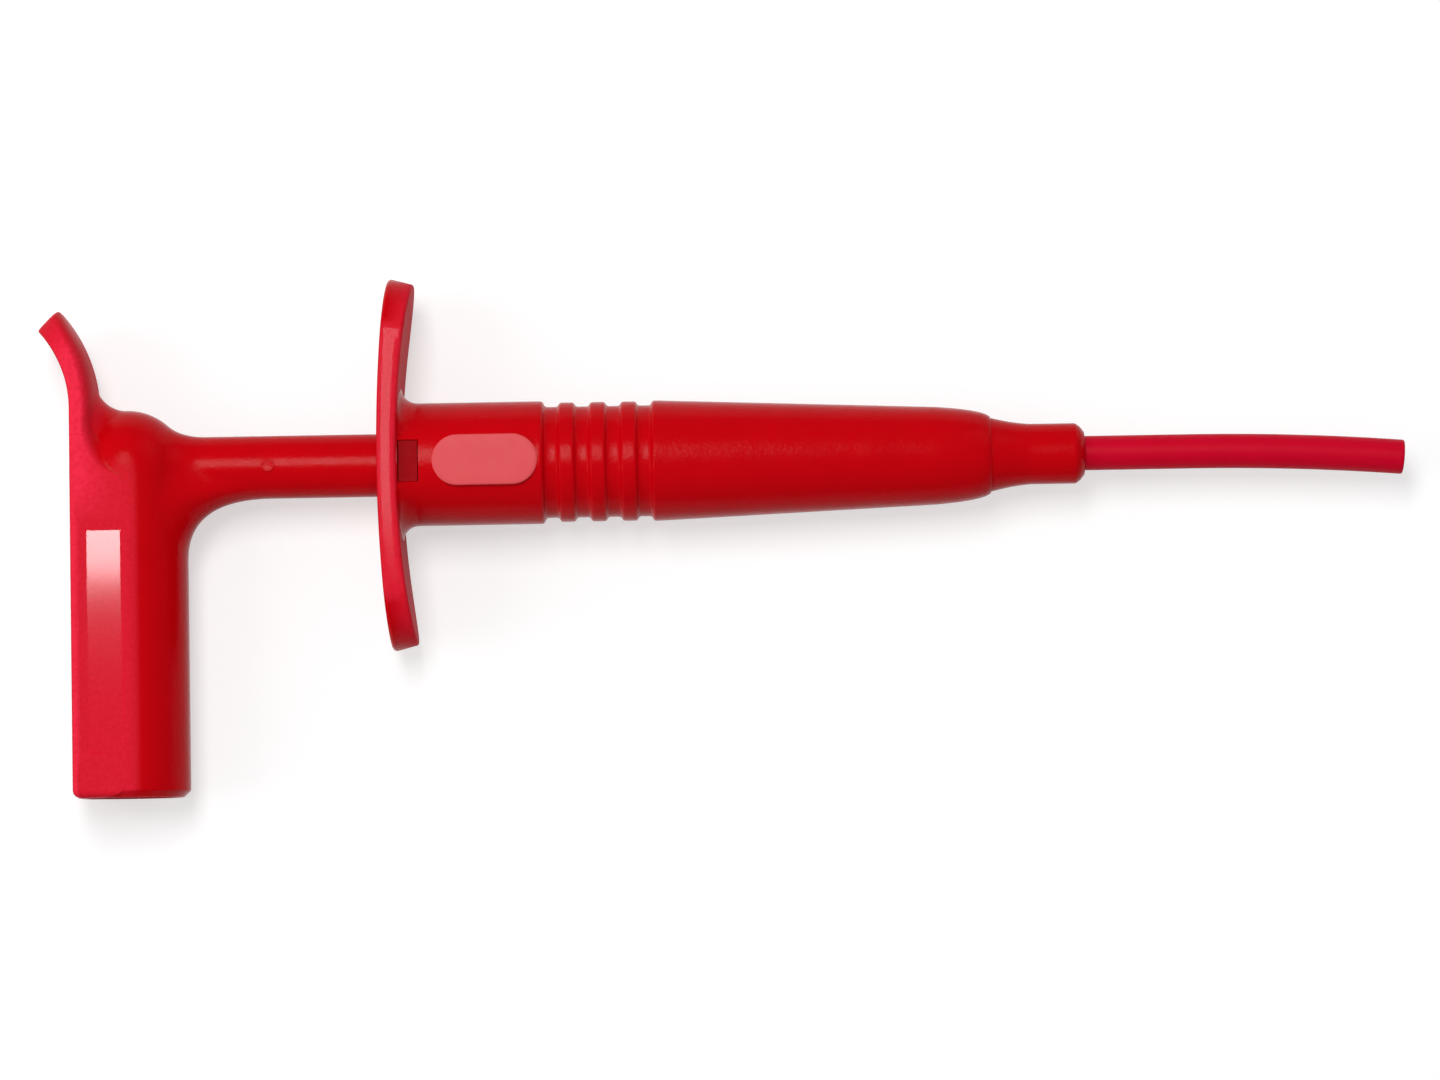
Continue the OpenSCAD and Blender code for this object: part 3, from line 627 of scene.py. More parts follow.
rim = stadium(FLANGE_POINTS, FLANGE_STRAIGHT, FLANGE_R)
inset = stadium(FLANGE_POINTS, FLANGE_STRAIGHT, FLANGE_R - FLANGE_EDGE)
heading = np.arctan2(rim[:, 1], rim[:, 0])
hole = BORE_R * np.stack([np.cos(heading), np.sin(heading)], -1)
grow = np.linspace(0, 1, FACE_RINGS)[:, None, None]
face = hole * (1 - grow) + inset * grow
roll = np.linspace(0, np.pi / 2, EDGE_RINGS + 1)[1:, None, None]
edge = inset + (rim - inset) * np.sin(roll)
edge_dip = (FLANGE_EDGE * (1 - np.cos(roll)))[..., 0]
flange_rings = np.concatenate([
    lay(face, rear_face(face[..., 0])),
    lay(edge, rear_face(edge[..., 0]) + edge_dip),
    lay(lean(edge[::-1]), front_face(edge[::-1, :, 0]) - edge_dip[::-1]),
    lay(lean(face[::-1]), front_face(face[::-1, :, 0])),
])
flange = shell(flange_rings, closed=True)
print("flange:", len(flange_rings), "rings of", FLANGE_POINTS, "points")

# %% [markdown]
# ## Fillet at the flange
# A mould maker rounds the corner where the flange meets the barrel, because a sharp one would crack.
# The flange is only a little wider than the barrel, so one Bevel width doesn't fit all round.
# At each angle the radius fills the room on the flange, up to 1.8 mm, with next to none at the windows.

# %% flange fillet
FILLET_MOST, FILLET_LEAST, FILLET_MARGIN, FILLET_SINK = 1.8, 0.03, 0.12, 0.03
WINDOW_MARGIN, FILLET_CORE_R, FILLET_REAR_X, FILLET_STEPS = 0.05, 5.2, 1.0, 9
ALMOST_ZERO = 1e-6
room = FLANGE_R / np.maximum(np.abs(np.sin(ROUND)), ALMOST_ZERO) - BARREL_R - FILLET_MARGIN
at_window = np.abs(np.cos(ROUND)) < np.sin(window_turn + WINDOW_MARGIN)
fillet = np.where(at_window, FILLET_LEAST, np.clip(room, FILLET_LEAST, FILLET_MOST))
sweep = np.linspace(0, np.pi / 2, FILLET_STEPS)[:, None]
fillet_r = BARREL_R + fillet * (1 - np.sin(sweep))
fillet_x = front_face(fillet_r * np.cos(ROUND)) - FILLET_SINK + fillet * (1 - np.cos(sweep))
fillet_r = np.concatenate([fillet_r, np.full((2, len(ROUND)), FILLET_CORE_R)])
fillet_x = np.concatenate([fillet_x, fillet_x[-1:], np.full((1, len(ROUND)), FILLET_REAR_X)])
fillet_rings = np.stack([fillet_x, fillet_r * np.cos(ROUND), fillet_r * np.sin(ROUND)], -1)
flange_root = shell(fillet_rings, closed=True)
print("flange fillet from", fillet.min(), "to", round(fillet.max(), 2), "mm")

# %% [markdown]
# ## Barrel with its masks
# The flange lies on one long flat side and shows the other to the camera, so those get the flats' finish and
# their painted sheen. A little coat on the upper part adds to the soft pink band of the real flange, and its
# front face gets a weaker share of both. A painted map would do the same, but a formula follows the shape if
# a size changes.

# %% barrel moulding
BAND_FROM, BAND_TO, BAND_FLAT, FRONT_FACE_FLAT = 6.25, 6.6, 0.45, 0.35
SHEEN, SHEEN_LOW, SHEEN_FROM, SHEEN_TO = 0.1, 0.25, -11, -3


def unmasked(points_and_polygons):
    """A mask of zeros, one for each point of a shell."""
    return np.zeros(len(points_and_polygons[0]))


band = fade(np.abs(flange_rings[..., 2]), BAND_FROM, BAND_TO)
sheen = SHEEN * band * (SHEEN_LOW + (1 - SHEEN_LOW) * fade(flange_rings[..., 1], SHEEN_FROM, SHEEN_TO))
on_front = np.arange(len(flange_rings))[:, None] >= FACE_RINGS + EDGE_RINGS
# Band and front face take the flats' roughness and their pink tint, which is a painted sheen.
flange_flat = np.maximum(BAND_FLAT * band, FRONT_FACE_FLAT * on_front)
barrel_masks = [
    (mask, np.concatenate([unmasked(barrel_body), values.ravel(), unmasked(flange_root)]))
    for mask, values in (("flat", flange_flat), ("panel", sheen))
]
barrel_shells = [barrel_body, flange, flange_root]
make("barrel_moulding", barrel_shells, RED, "barrel", "red_moulding", "barrel", masks=barrel_masks)

# %% [markdown]
# ## Pad
# A pale oval pad stands a tenth of a millimetre proud of the barrel's rear, with a soft edge.
# It is the one place where the red is lighter: partly the pad's own paler colour, partly a painted reflection
# of the key lamp. So it is a piece of its own with its own finish.
# An extruded, bevelled outline would do. Here one stadium is scaled and lowered ring by ring.

# %% pad
PAD_X, PAD_STRAIGHT, PAD_R, PAD_PROUD, PAD_POINTS = 10.9, 2.75, 2.55, 0.12, 160
pad_scale = np.array([0.02, 0.5, 0.93, 0.965, 0.985, 1.0, 1.0])[:, None]
pad_drop = np.array([0, 0, 0, 0.01, 0.035, 0.09, 1.4])[:, None]
pad_along, pad_across = stadium(PAD_POINTS, PAD_STRAIGHT, PAD_R).T
pad_rings = np.stack([
    PAD_X + pad_along * pad_scale,
    pad_across * pad_scale,
    BARREL_R + PAD_PROUD - pad_drop + 0 * pad_along,
], -1)
make("label_pad", [shell(pad_rings)], PAD_RED_AND_SHEEN, "barrel", "red_moulding")

# %% [markdown]
# ## Nose
# The nose plugs the barrel's front and holds the tube. It is a moulding of its own: a short cone that
# carries on the lip's curve, a collar, and a rounded front edge. Spin would turn it from a drawn edge.
# It uses the barrel's helpers instead, bore included, and starts at the barrel's own end.

# %% nose
NOSE_END, COLLAR_R, CONE_R, PLUG_R, NOSE_BORE_R = 71.7, 3.08, 3.74, 3.03, 1.78
CONE_PULL, CONE_END, CONE_STEPS, COLLAR_FROM, COLLAR_END = (64.45, 3.19), 66.2, 16, 66.5, 70.8
EDGE_X, EDGE_R, FACE_R = 71.25, 2.75, 2.2
COLLAR_SOFT, EDGE_SOFT, FACE_SOFT = 0.45, 0.3, 0.25
RIM_STEP, CONE_FROM = 0.12, 0.15
nose_profile = np.concatenate([
    [(SEAT_X, PLUG_R), (BARREL_END, PLUG_R), (BARREL_END, CONE_R), (BARREL_END + RIM_STEP, CONE_R)],
    curve((BARREL_END + CONE_FROM, CONE_R), CONE_PULL, (CONE_END, COLLAR_R), CONE_STEPS),
    rounded([
        (COLLAR_FROM, COLLAR_R, 0), (COLLAR_END, COLLAR_R, COLLAR_SOFT), (EDGE_X, EDGE_R, EDGE_SOFT),
        (NOSE_END, FACE_R, FACE_SOFT), (NOSE_END, NOSE_BORE_R, 0), (SEAT_X, NOSE_BORE_R, 0),
    ]),
])
nose = shell(turned(nose_profile, ROUND), closed=True)
make("nose_moulding", [nose], RED, "barrel", "red_moulding", "nose_piece")

# %% [markdown]
# ## Insulating tube
# The tube is soft extruded plastic. It leaves the nose straight and then bends with a radius of 250 mm.
# A curve with a bevel would draw it, but not its bore, its flare in the nose and its rounded end.
# So a profile of distance and radius is carried along the path by a formula.

# %% tube
TUBE_R, TUBE_BORE_R, FLARE_R = 1.75, 1.3, 2.25
BEND_X, BEND_R, BEND_LEN = 82.45, 250.0, 21.75
TUBE_FROM, FLARE_END, TUBE_FULL, TUBE_STEPS, TUBE_POINTS = -30.0, -29.1, -29.0, 40, 64
SKIN_FROM, RIM_LEAD, RIM_BACK, RIM_DOWN, BORE_RIM = -28.5, 0.05, 0.3, 0.2, 0.1
RIM_STEPS, BORE_RIM_STEPS = 5, 4


def along_bend(a, y, z):
    """Points at the distance a along the tube: straight first, then on a circle of radius R below it."""
    w = np.maximum(a, 0) / BEND_R
    x = BEND_X + np.where(a < 0, a, 0) + (BEND_R + y) * np.sin(w)
    return np.stack([x, (BEND_R + y) * np.cos(w) - BEND_R, z + 0 * a], -1)


outer_a = np.linspace(SKIN_FROM, BEND_LEN - RIM_BACK - RIM_LEAD, TUBE_STEPS)
bore_a = np.linspace(BEND_LEN - RIM_BACK - BORE_RIM, TUBE_FROM, TUBE_STEPS)
bore_rim = TUBE_BORE_R + BORE_RIM
tube_profile = np.concatenate([
    [(TUBE_FROM, FLARE_R), (FLARE_END, FLARE_R), (TUBE_FULL, TUBE_R)],
    np.stack([outer_a, np.full(TUBE_STEPS, TUBE_R)], -1),
    curve((BEND_LEN - RIM_BACK, TUBE_R), (BEND_LEN, TUBE_R), (BEND_LEN, TUBE_R - RIM_DOWN), RIM_STEPS),
    curve((BEND_LEN, bore_rim), (BEND_LEN, TUBE_BORE_R), (BEND_LEN - BORE_RIM, TUBE_BORE_R), BORE_RIM_STEPS),
    np.stack([bore_a, np.full(TUBE_STEPS, TUBE_BORE_R)], -1),
])
tube_a, tube_r = tube_profile[:, 0:1], tube_profile[:, 1:2]
tube_turn = full_turn(TUBE_POINTS)
tube = shell(along_bend(tube_a, tube_r * np.cos(tube_turn), tube_r * np.sin(tube_turn)), closed=True)
make("insulating_tube", [tube], TUBE_RED, "barrel", "crimson_tube", "flexible_tube")

# %% [markdown]
# ## Handle: leg and dome
# The T-handle is one moulding, made here of five closed shells that meet inside the plastic.
# Its leg is the round housing of a 4 mm safety socket, domed above and open at the foot, so it is turned.
# The panel is a shallow recess in the flat side that lies over the leg, and the leg is pressed in below it.
# PANEL_Y are its stations: rim, floor's edge and polish at the foot, then polish, floor's edge and rim.

# %% leg profile
LEG_R, LEG_DROP, LEG_FROM = 6.0, 33.4, -1.0
FOOT_CHAMFER, FOOT_SOFT, FOOT_RIM_SOFT, MOUTH_SOFT, MOUTH_BEVEL = 0.7, 0.3, 0.25, 0.1, 0.3
MOUTH_R, RECESS_R, RECESS_END = 4.95, 4.75, -11.4
CONTACT_HOLE_R, CONTACT_HOLE_END, POLE_R, POLE_TURN, DOME_STEPS = 3.12, 2.4, 0.02, 0.004, 40
PANEL_Y = np.array([-28.96, -28.84, -28.7, -6.5, -6.32, -5.47])

dome = np.linspace(POLE_TURN, np.pi / 2, DOME_STEPS)
leg_profile = np.concatenate([
    np.stack([LEG_R * np.cos(dome), LEG_R * np.sin(dome)], -1),
    rounded([
        (LEG_FROM, LEG_R, 0), *((y, LEG_R, 0) for y in PANEL_Y[::-1]),
        (-LEG_DROP + FOOT_CHAMFER, LEG_R, FOOT_SOFT), (-LEG_DROP, LEG_R - FOOT_CHAMFER, FOOT_RIM_SOFT),
        (-LEG_DROP, MOUTH_R, MOUTH_SOFT), (-LEG_DROP + MOUTH_BEVEL, RECESS_R, 0), (RECESS_END, RECESS_R, 0),
    ]),
    [(RECESS_END, CONTACT_HOLE_R), (CONTACT_HOLE_END, CONTACT_HOLE_R), (CONTACT_HOLE_END, POLE_R)],
])
print("leg profile:", len(leg_profile), "points")

# %% [markdown]
# ## Handle: leg under the panel
# The leg's skin would stand through the panel's floor, which lies a tenth of a millimetre lower.
# A Shrinkwrap could press it in, but it would also pull on points beside the panel.
# Here the points under the panel, on the thumb's side, are held just below that floor.
# Near its top and underside the leg also gets a share of the flats' finish and their painted sheen: along
# the crest it is a painted highlight, which fades out on the dome.

# %% leg
LEG_X, THUMB_HALF, PANEL_DEPTH, UNDER_PANEL, HAIR = -25.6, 6.008, 0.115, 0.005, 0.01
LEG_SHEEN, LEG_SHEEN_FROM, LEG_SHEEN_TO, DOME_FADE = 0.42, 5.76, 6.0, 2.0
panel_z = THUMB_HALF - PANEL_DEPTH
leg_rings = turned(leg_profile, ROUND)
leg_x, leg_y, leg_z = LEG_X - leg_rings[..., 1], leg_rings[..., 0], leg_rings[..., 2]
under = (leg_y > PANEL_Y[1] - HAIR) & (leg_y < PANEL_Y[4] + HAIR) & (leg_x < LEG_X - HAIR)
leg_z = np.where(under, np.minimum(leg_z, panel_z - UNDER_PANEL), leg_z)
leg = shell(np.stack([leg_x, leg_y, leg_z], -1))
# A painted highlight: the flats' pink tint laid along the leg's crest, under the key lamp.
leg_flat = LEG_SHEEN * fade(np.abs(leg_z), LEG_SHEEN_FROM, LEG_SHEEN_TO) * fade(-leg_y, -DOME_FADE, DOME_FADE)
print("leg:", len(leg_profile), "rings, foot at", leg_y.min().round(2), "mm")

# %% [markdown]
# ## Handle: path of the thumb block and wing
# The thumb block is the straight side beside the leg. It goes on as a wing that bends away from the barrel.
# Both are one section carried along a path: straight up, then round an arc of 11.3 mm radius.
# Stations lie close together where the outline turns quickly: at the foot, the panel's ends and the tip.
# They are columns, so that stations run down an array and the points of a section run across.

# %% thumb path
THUMB_X, WING_FROM, WING_R, WING_TURN = -31.0, 6.0, 11.3, np.radians(46.45)
FOOT_GAP, FOOT_EDGE, TIP_EDGE, NO_TIP = 0.02, 0.7, 0.4, 99.0
EDGE_STATIONS, SHOULDER_FIRST, SHOULDER_STATIONS, LAST_GAP, WING_STATIONS = 6, -5, 60, 0.5, 60
PANEL_FIRST, PANEL_LAST, PANEL_STATIONS = -27, -8, 8
FOOT = -LEG_DROP + FOOT_GAP
crowded = 1 - np.cos(np.linspace(0, np.pi / 2, EDGE_STATIONS))
toe_y = FOOT + np.array([0.85, 1.1, 1.4, 1.7, 2.4])
along_panel = np.linspace(PANEL_FIRST, PANEL_LAST, PANEL_STATIONS)
past_shoulder = np.linspace(SHOULDER_FIRST, WING_FROM, SHOULDER_STATIONS)
straight_y = np.concatenate([
    FOOT + FOOT_EDGE * crowded, toe_y, PANEL_Y[:3], along_panel, PANEL_Y[3:], past_shoulder,
])
to_edge = np.linspace(WING_TURN * WING_R, LAST_GAP, WING_STATIONS)[1:]
wing_gap = np.concatenate([to_edge, TIP_EDGE * crowded[::-1]])
at_y = np.concatenate([straight_y, np.full(len(wing_gap), WING_FROM)])[:, None]
at_turn = np.concatenate([np.zeros(len(straight_y)), WING_TURN - wing_gap / WING_R])[:, None]
to_tip = np.concatenate([np.full(len(straight_y), NO_TIP), wing_gap])[:, None]
print("thumb path:", len(straight_y), "straight and", len(wing_gap), "bent stations")

# %% [markdown]
# ## Handle: thickness of the thumb block and wing
# Beside the leg the block is 5.45 mm thick. A shoulder thins it to the wing, which swells again to its tip.
# Foot and tip are rounded, so the section draws in there as a quarter circle does.
# Solidify could give a bent sheet its thickness, but one that changes would need painted weights.

# %% thumb thickness
WING_T, WING_SWELL, TOE, TIP_ROUND, SHOULDER_STEPS = 2.35, 0.65, 1.7, 4.5, 30
SHOULDER_LOW, SHOULDER_PULL, SHOULDER_TOP = (5.45, -0.9), (WING_T + 0.35, -0.3), (WING_T, 4.3)


def short_of(radius, gap):
    """How far a rounded end of this radius falls short of a square one: r - sqrt(r^2 - (r - gap)^2)."""
    inner = np.clip(radius - gap, 0, radius)
    return radius - np.sqrt(radius**2 - inner**2)


# The wing's front is an arc too, about a centre farther back. That lead gives the swell at the tip.
root_r = WING_R + WING_T
end_r = root_r + WING_SWELL
lead = (end_r**2 - root_r**2) / (2 * root_r - 2 * end_r * np.cos(WING_TURN))
front_arc_r = root_r + lead
swell = np.sqrt(front_arc_r**2 - (lead * np.sin(at_turn)) ** 2) - lead * np.cos(at_turn) - root_r
shoulder = curve(SHOULDER_LOW, SHOULDER_PULL, SHOULDER_TOP, SHOULDER_STEPS)
depth = np.interp(at_y, shoulder[:, 1], shoulder[:, 0]) + swell - short_of(TOE, at_y - FOOT)
pinch = short_of(FOOT_EDGE, at_y - FOOT) + short_of(TIP_EDGE, to_tip)
half = THUMB_HALF - pinch - short_of(TIP_ROUND, to_tip)
rear_edge, front_edge = pinch, depth - pinch
thick = front_edge - rear_edge
print("thumb block up to", depth.max().round(2), "mm thick, wing tip", depth[-1, 0].round(2), "mm")

# %% [markdown]
# ## Handle: rear edge and flat side
# A section starts at the rear edge, which has a small radius, and goes over the flat side.
# A Boolean or an inset could sink the panel. Here four of the side's six points are lowered between the
# stations at its ends, so its slopes belong to the grid. PANEL_D are the six places, from the rear face.

# %% thumb rear edge and side
REAR_SOFT, REAR_SHARE, FRONT_SHARE, REAR_STEPS = 0.5, 0.25, 0.5, 9
EASE_Y, FRONT_SOFT = [-2.0, -0.6, 1.5], [0.03, 0.9, 1.2]
SIDE_SHARES = np.array([0.02, 0.05, 0.2, 0.8, 0.95, 0.98])
PANEL_D = np.array([0.96, 1.62, 1.80, 5.05, 5.14, 5.40])
SUNK = np.array([False, True, True, True, True, False])
PANEL_LOW, PANEL_HIGH = -29.5, -5.4

rear_soft = np.minimum(REAR_SOFT, thick * REAR_SHARE)
front_soft = np.minimum(np.interp(at_y, EASE_Y, FRONT_SOFT), thick * FRONT_SHARE)
quarter = np.linspace(0, np.pi / 2, REAR_STEPS)
round_d = rear_edge + rear_soft * (1 - np.sin(quarter))
round_z = half - rear_soft * (1 - np.cos(quarter))

on_leg = at_turn <= 0
beside_panel = (at_y > PANEL_LOW) & (at_y < PANEL_HIGH) & on_leg
in_panel = (at_y > PANEL_Y[1] - HAIR) & (at_y < PANEL_Y[4] + HAIR) & on_leg
plain_d = rear_edge + rear_soft + (thick - rear_soft - front_soft) * SIDE_SHARES
side_d = np.where(beside_panel, PANEL_D, plain_d)
side_z = np.where(in_panel & SUNK, panel_z, half)
print("stations in the panel:", np.count_nonzero(in_panel))

# %% [markdown]
# ## Handle: front edge
# Up at the wing the front edge is a wide round, deeper across than along, like the edge of a worn pebble.
# Down at the leg it melts into the leg's own skin instead, so the two shells meet without a line.
# A smooth step mixes the two forms along the path. Sculpting could do this too, but not repeat it exactly.

# %% thumb front edge
DEEP_Y, FRONT_DEEP, HALF_SHARE = [-2.0, -0.6, 1.5, 6.0], [0.03, 1.5, 3.0, 3.6], 0.6
MELT_REACH, MELT_SINK, MELT_FROM, MELT_TO, SKIN_LEAST, FRONT_STEPS = 1.7, 0.02, 2.0, 5.5, 1.0, 15

u = np.linspace(0, 1, FRONT_STEPS)
front_deep = np.minimum(np.interp(at_y, DEEP_Y, FRONT_DEEP), half * HALF_SHARE)
edge_from = front_edge - front_soft
roll_d = edge_from + front_soft * np.sin(u * np.pi / 2)
roll_z = half - front_deep * (1 - np.cos(u * np.pi / 2))
melt_d = edge_from + front_soft * MELT_REACH * u
skin = LEG_R**2 - (melt_d + THUMB_X - LEG_X) ** 2 - np.maximum(at_y, 0) ** 2
skin_z = np.sqrt(np.maximum(skin, SKIN_LEAST)) - MELT_SINK
melt_z = half + np.minimum(skin_z - half, 0) * fade(u, 0, 1)
melt = 1 - fade(at_y, MELT_FROM, MELT_TO)
front_d = roll_d + (melt_d - roll_d) * melt
front_z = roll_z + (melt_z - roll_z) * melt
print("front edge:", np.count_nonzero(melt == 1), "stations melt into the leg")

# %% [markdown]
# ## Handle: room for the socket
# A plug goes into the leg from the foot, so the thumb block mustn't cover the mouth.
# A Boolean could drill it. Here the section itself goes round the leg's axis, outside the socket's hole,
# and becomes a C. Above the leg, where the wing begins, the same points close to a plain solid section.

# %% room for the socket
CLEAR_R, CLEAR_DRAW, CLEAR_FROM, CLEAR_TO, CLEAR_EASE = 5.0, 1.4, -10.7, -8.0, 0.3
HOLLOW_FROM, HOLLOW_TO, HOLLOW_STEPS, REAR_RIM, REAR_HALF, REAR_POINTS = 2.4, 4.4, 15, 0.35, 1.7, 5

v = np.linspace(0, 1, HOLLOW_STEPS)[1:]
from_d, from_z = front_d[:, -1:], front_z[:, -1:]
axis_d = LEG_X - THUMB_X
from_r, from_turn = np.hypot(from_d - axis_d, from_z), np.arctan2(from_z, from_d - axis_d)
clear_r = CLEAR_R - CLEAR_DRAW * fade(at_y, CLEAR_FROM, CLEAR_TO)
inner_r = from_r + (clear_r - from_r) * fade(v, 0, CLEAR_EASE)
inner_turn = from_turn + (np.pi - from_turn) * v
hollow = 1 - fade(at_y, HOLLOW_FROM, HOLLOW_TO)
solid_z = from_z * (1 - v)
inner_d = from_d + (axis_d + inner_r * np.cos(inner_turn) - from_d) * hollow
inner_z = solid_z + (inner_r * np.sin(inner_turn) - solid_z) * hollow
rear_d = np.where(on_leg, np.minimum(rear_edge, REAR_RIM), rear_edge) * np.ones(REAR_POINTS)
rear_z = np.minimum(REAR_HALF, (half - rear_soft) / 2) * np.linspace(-1, 1, REAR_POINTS)
print("hole kept clear from", clear_r.max(), "to", clear_r.min().round(2), "mm about the leg's axis")

# %% [markdown]
# ## Handle: thumb block and wing
# The stretches of the section now join into one closed line: over the upper side, round the hole, back over
# the lower side, and across the rear. Each station turns its section by the angle of the wing's arc,
# which is what a Curve modifier would do with a straight bar.

# %% thumb block and wing
section_d = np.concatenate([
    round_d[:, ::-1], side_d, front_d, inner_d,
    inner_d[:, -2::-1], front_d[:, ::-1], side_d[:, ::-1], round_d, rear_d,
], 1)
section_z = np.concatenate([
    round_z[:, ::-1], side_z, front_z, inner_z,
    -inner_z[:, -2::-1], -front_z[:, ::-1], -half * np.ones(len(SIDE_SHARES)), -round_z, rear_z,
], 1)
reach = WING_R + section_d
thumb = shell(np.stack([
    THUMB_X - WING_R + reach * np.cos(at_turn),
    at_y + reach * np.sin(at_turn),
    section_z,
], -1))
print("thumb block and wing:", section_d.shape[0], "sections of", section_d.shape[1], "points")

# %% [markdown]
# ## Handle: where the flats get their painted sheen
# The flats' finish and their painted sheen are strongest on the wing's side and along the rear rim, where the
# lamps catch them, and weaker beside the leg. The sheen also lightens the wing's back, as painted light.
# It fades over the edges, so that no line shows where a flat ends. The panel's coat fades towards the foot,
# as its shine does on the real clip. Weight paint could do all this, but a formula moves with the shape.

# %% thumb masks
RIM_SHEEN, RIM_FIRST, TIP_FLAT, FRONT_LOSS = 0.85, 3, 0.5, 0.65
PANEL_COAT = np.array([0.35, 1.0, 1.0])
REAR_FADE, FRONT_FADE, RIM_FADE, TIP_FADE = (0.8, 1.5), (0, 0.6), (1.2, 2.2), (1.5, 5.0)
WING_FADE, SHOULDER_FADE, PANEL_FADE = (-2, 3), (-7, -1), (-26, -14)
first_side = len(quarter)

over_rear = (1 - fade(quarter, *REAR_FADE)) * np.ones(round_d.shape)
over_side = np.ones(side_d.shape)
over_front = 1 - (FRONT_LOSS + (1 - FRONT_LOSS) * melt) * fade(u, *FRONT_FADE)
over_inner = over_front[:, -1:] * np.ones(2 * len(v) - 1)
across = np.concatenate([
    over_rear[:, ::-1], over_side, over_front, over_inner,
    over_front[:, ::-1], over_side, over_rear, 0 * rear_d,
], 1)
# The rear rim's band is a painted highlight from the left lamp; the share on the wing's back is painted
# light.
on_wing = LEG_SHEEN + (1 - LEG_SHEEN) * fade(at_y, *WING_FADE)
on_rim = LEG_SHEEN + (1 - LEG_SHEEN) * (1 - fade(section_d, *RIM_FADE)) * fade(at_y, *SHOULDER_FADE)
on_rim[:, RIM_FIRST:first_side] = RIM_SHEEN
by_tip = TIP_FLAT + (1 - TIP_FLAT) * fade(to_tip, *TIP_FADE)
thumb_flat = np.maximum(on_wing, on_rim) * by_tip * across
panel_floor = (at_y > PANEL_Y[2] - HAIR) & (at_y < PANEL_Y[3] + HAIR) & on_leg
thumb_panel = np.zeros(section_d.shape)
coated = slice(first_side + 1, first_side + 1 + len(PANEL_COAT))
thumb_panel[:, coated] = panel_floor * fade(at_y, *PANEL_FADE) * PANEL_COAT
print("polished points on the panel:", np.count_nonzero(thumb_panel))

# %% [markdown]
# ## Handle: horn
# The shaft slides in the barrel, and where it leaves the leg it swells into a horn, long on the leg's side.
# Metaballs or a sculpted blend would look soft but lose the sizes. Here each strip is a quadratic curve:
# it starts along the shaft, ends on the leg's skin, and is pulled to where the two directions cross,
# so it leaves both without a kink.

# %% horn strips
SHAFT_R, HORN_SIDE, HORN_DOWN, HORN_STRETCH, HORN_STEPS, HORN_POINTS = 3.2, 1.25, 4.85, 1.4, 25, 120
spin = full_turn(HORN_POINTS)
foot_r = SHAFT_R + HORN_SIDE + HORN_DOWN * np.maximum(0, -np.cos(spin)) ** 2
foot_v, foot_z = foot_r * np.cos(spin), foot_r * np.sin(spin)
lift = np.maximum(foot_v, 0)
foot_x = np.sqrt(LEG_R**2 - foot_z**2 - lift**2)
shaft_v, shaft_z = SHAFT_R * np.cos(spin), SHAFT_R * np.sin(spin)
cross_x = foot_x - (lift * (shaft_v - foot_v) + foot_z * (shaft_z - foot_z)) / foot_x
landing = np.stack([foot_x, foot_v, foot_z], -1)
crossing = np.stack([cross_x, shaft_v, shaft_z], -1)
run_out = HORN_STRETCH * np.linalg.norm(landing - crossing, axis=1)
leaving = crossing + np.stack([run_out, 0 * spin, 0 * spin], -1)
horn_strips = curve(leaving[:, None], crossing[:, None], landing[:, None], HORN_STEPS).transpose(1, 0, 2)
print("horn lands", foot_r.min().round(2), "to", foot_r.max().round(2), "mm from the shaft's axis")

# %% [markdown]
# ## Handle: shaft
# The shaft is a plain rod with a small bevel at its end, hidden in the barrel. A cylinder joined to the horn
# would leave a seam, so its rings lead straight into the horn's strips. The last ring sinks into the leg.

# %% horn and shaft
SHAFT_END, TIP_BEVEL, TIP_SCALE = 8.5, 0.2, 0.94
SHAFT_MID, HORN_AHEAD = 26.0, 18.0
SINK_X, SINK_V, SINK_Z = 1.2, 0.9, 0.7
shaft_tip = SHAFT_END - LEG_X
shaft_ring = np.stack([0 * spin, shaft_v, shaft_z], -1)
along_shaft = np.array([shaft_tip - TIP_BEVEL, SHAFT_MID, HORN_AHEAD])[:, None, None] * np.array([1, 0, 0])
sunk = np.stack([foot_x - SINK_X, foot_v * SINK_V, foot_z * SINK_Z], -1)
horn = shell(np.concatenate([
    (shaft_ring * TIP_SCALE + [shaft_tip, 0, 0])[None], shaft_ring + along_shaft, horn_strips, sunk[None],
]) + [LEG_X, 0, 0])
print("shaft reaches", SHAFT_END, "mm into the barrel")

# %% [markdown]
# ## Handle: wing root
# Between the leg's dome and the wing's front the moulding has a hollow fillet, like the crook of a thumb.
# Sculpting could smooth the corner, but a rolling ball gives it a radius. The ball touches dome and wing,
# and each section is the arc it leaves in a plane through the shaft's axis. It shrinks towards the sides.

# %% wing root
ROOT_SWING, ROOT_VANISH, ROOT_BALL, ROOT_POWER, ROOT_SECTIONS = 64, 66, 3.0, 1.5, 81
ROLL_FROM, ROLL_WIDTH, ROLL_MOST, ROLL_DROP = 2.4, 3.6, 0.98, 1.2
ROOT_CORE_R, ROOT_SINK, ROOT_LOW, ROOT_FLAT, ROOT_STEPS = 3.0, 0.4, 0.9, 0.35, 17
swing = np.radians(np.linspace(-ROOT_SWING, ROOT_SWING, ROOT_SECTIONS))[:, None]
wing_off = LEG_X - THUMB_X - WING_T
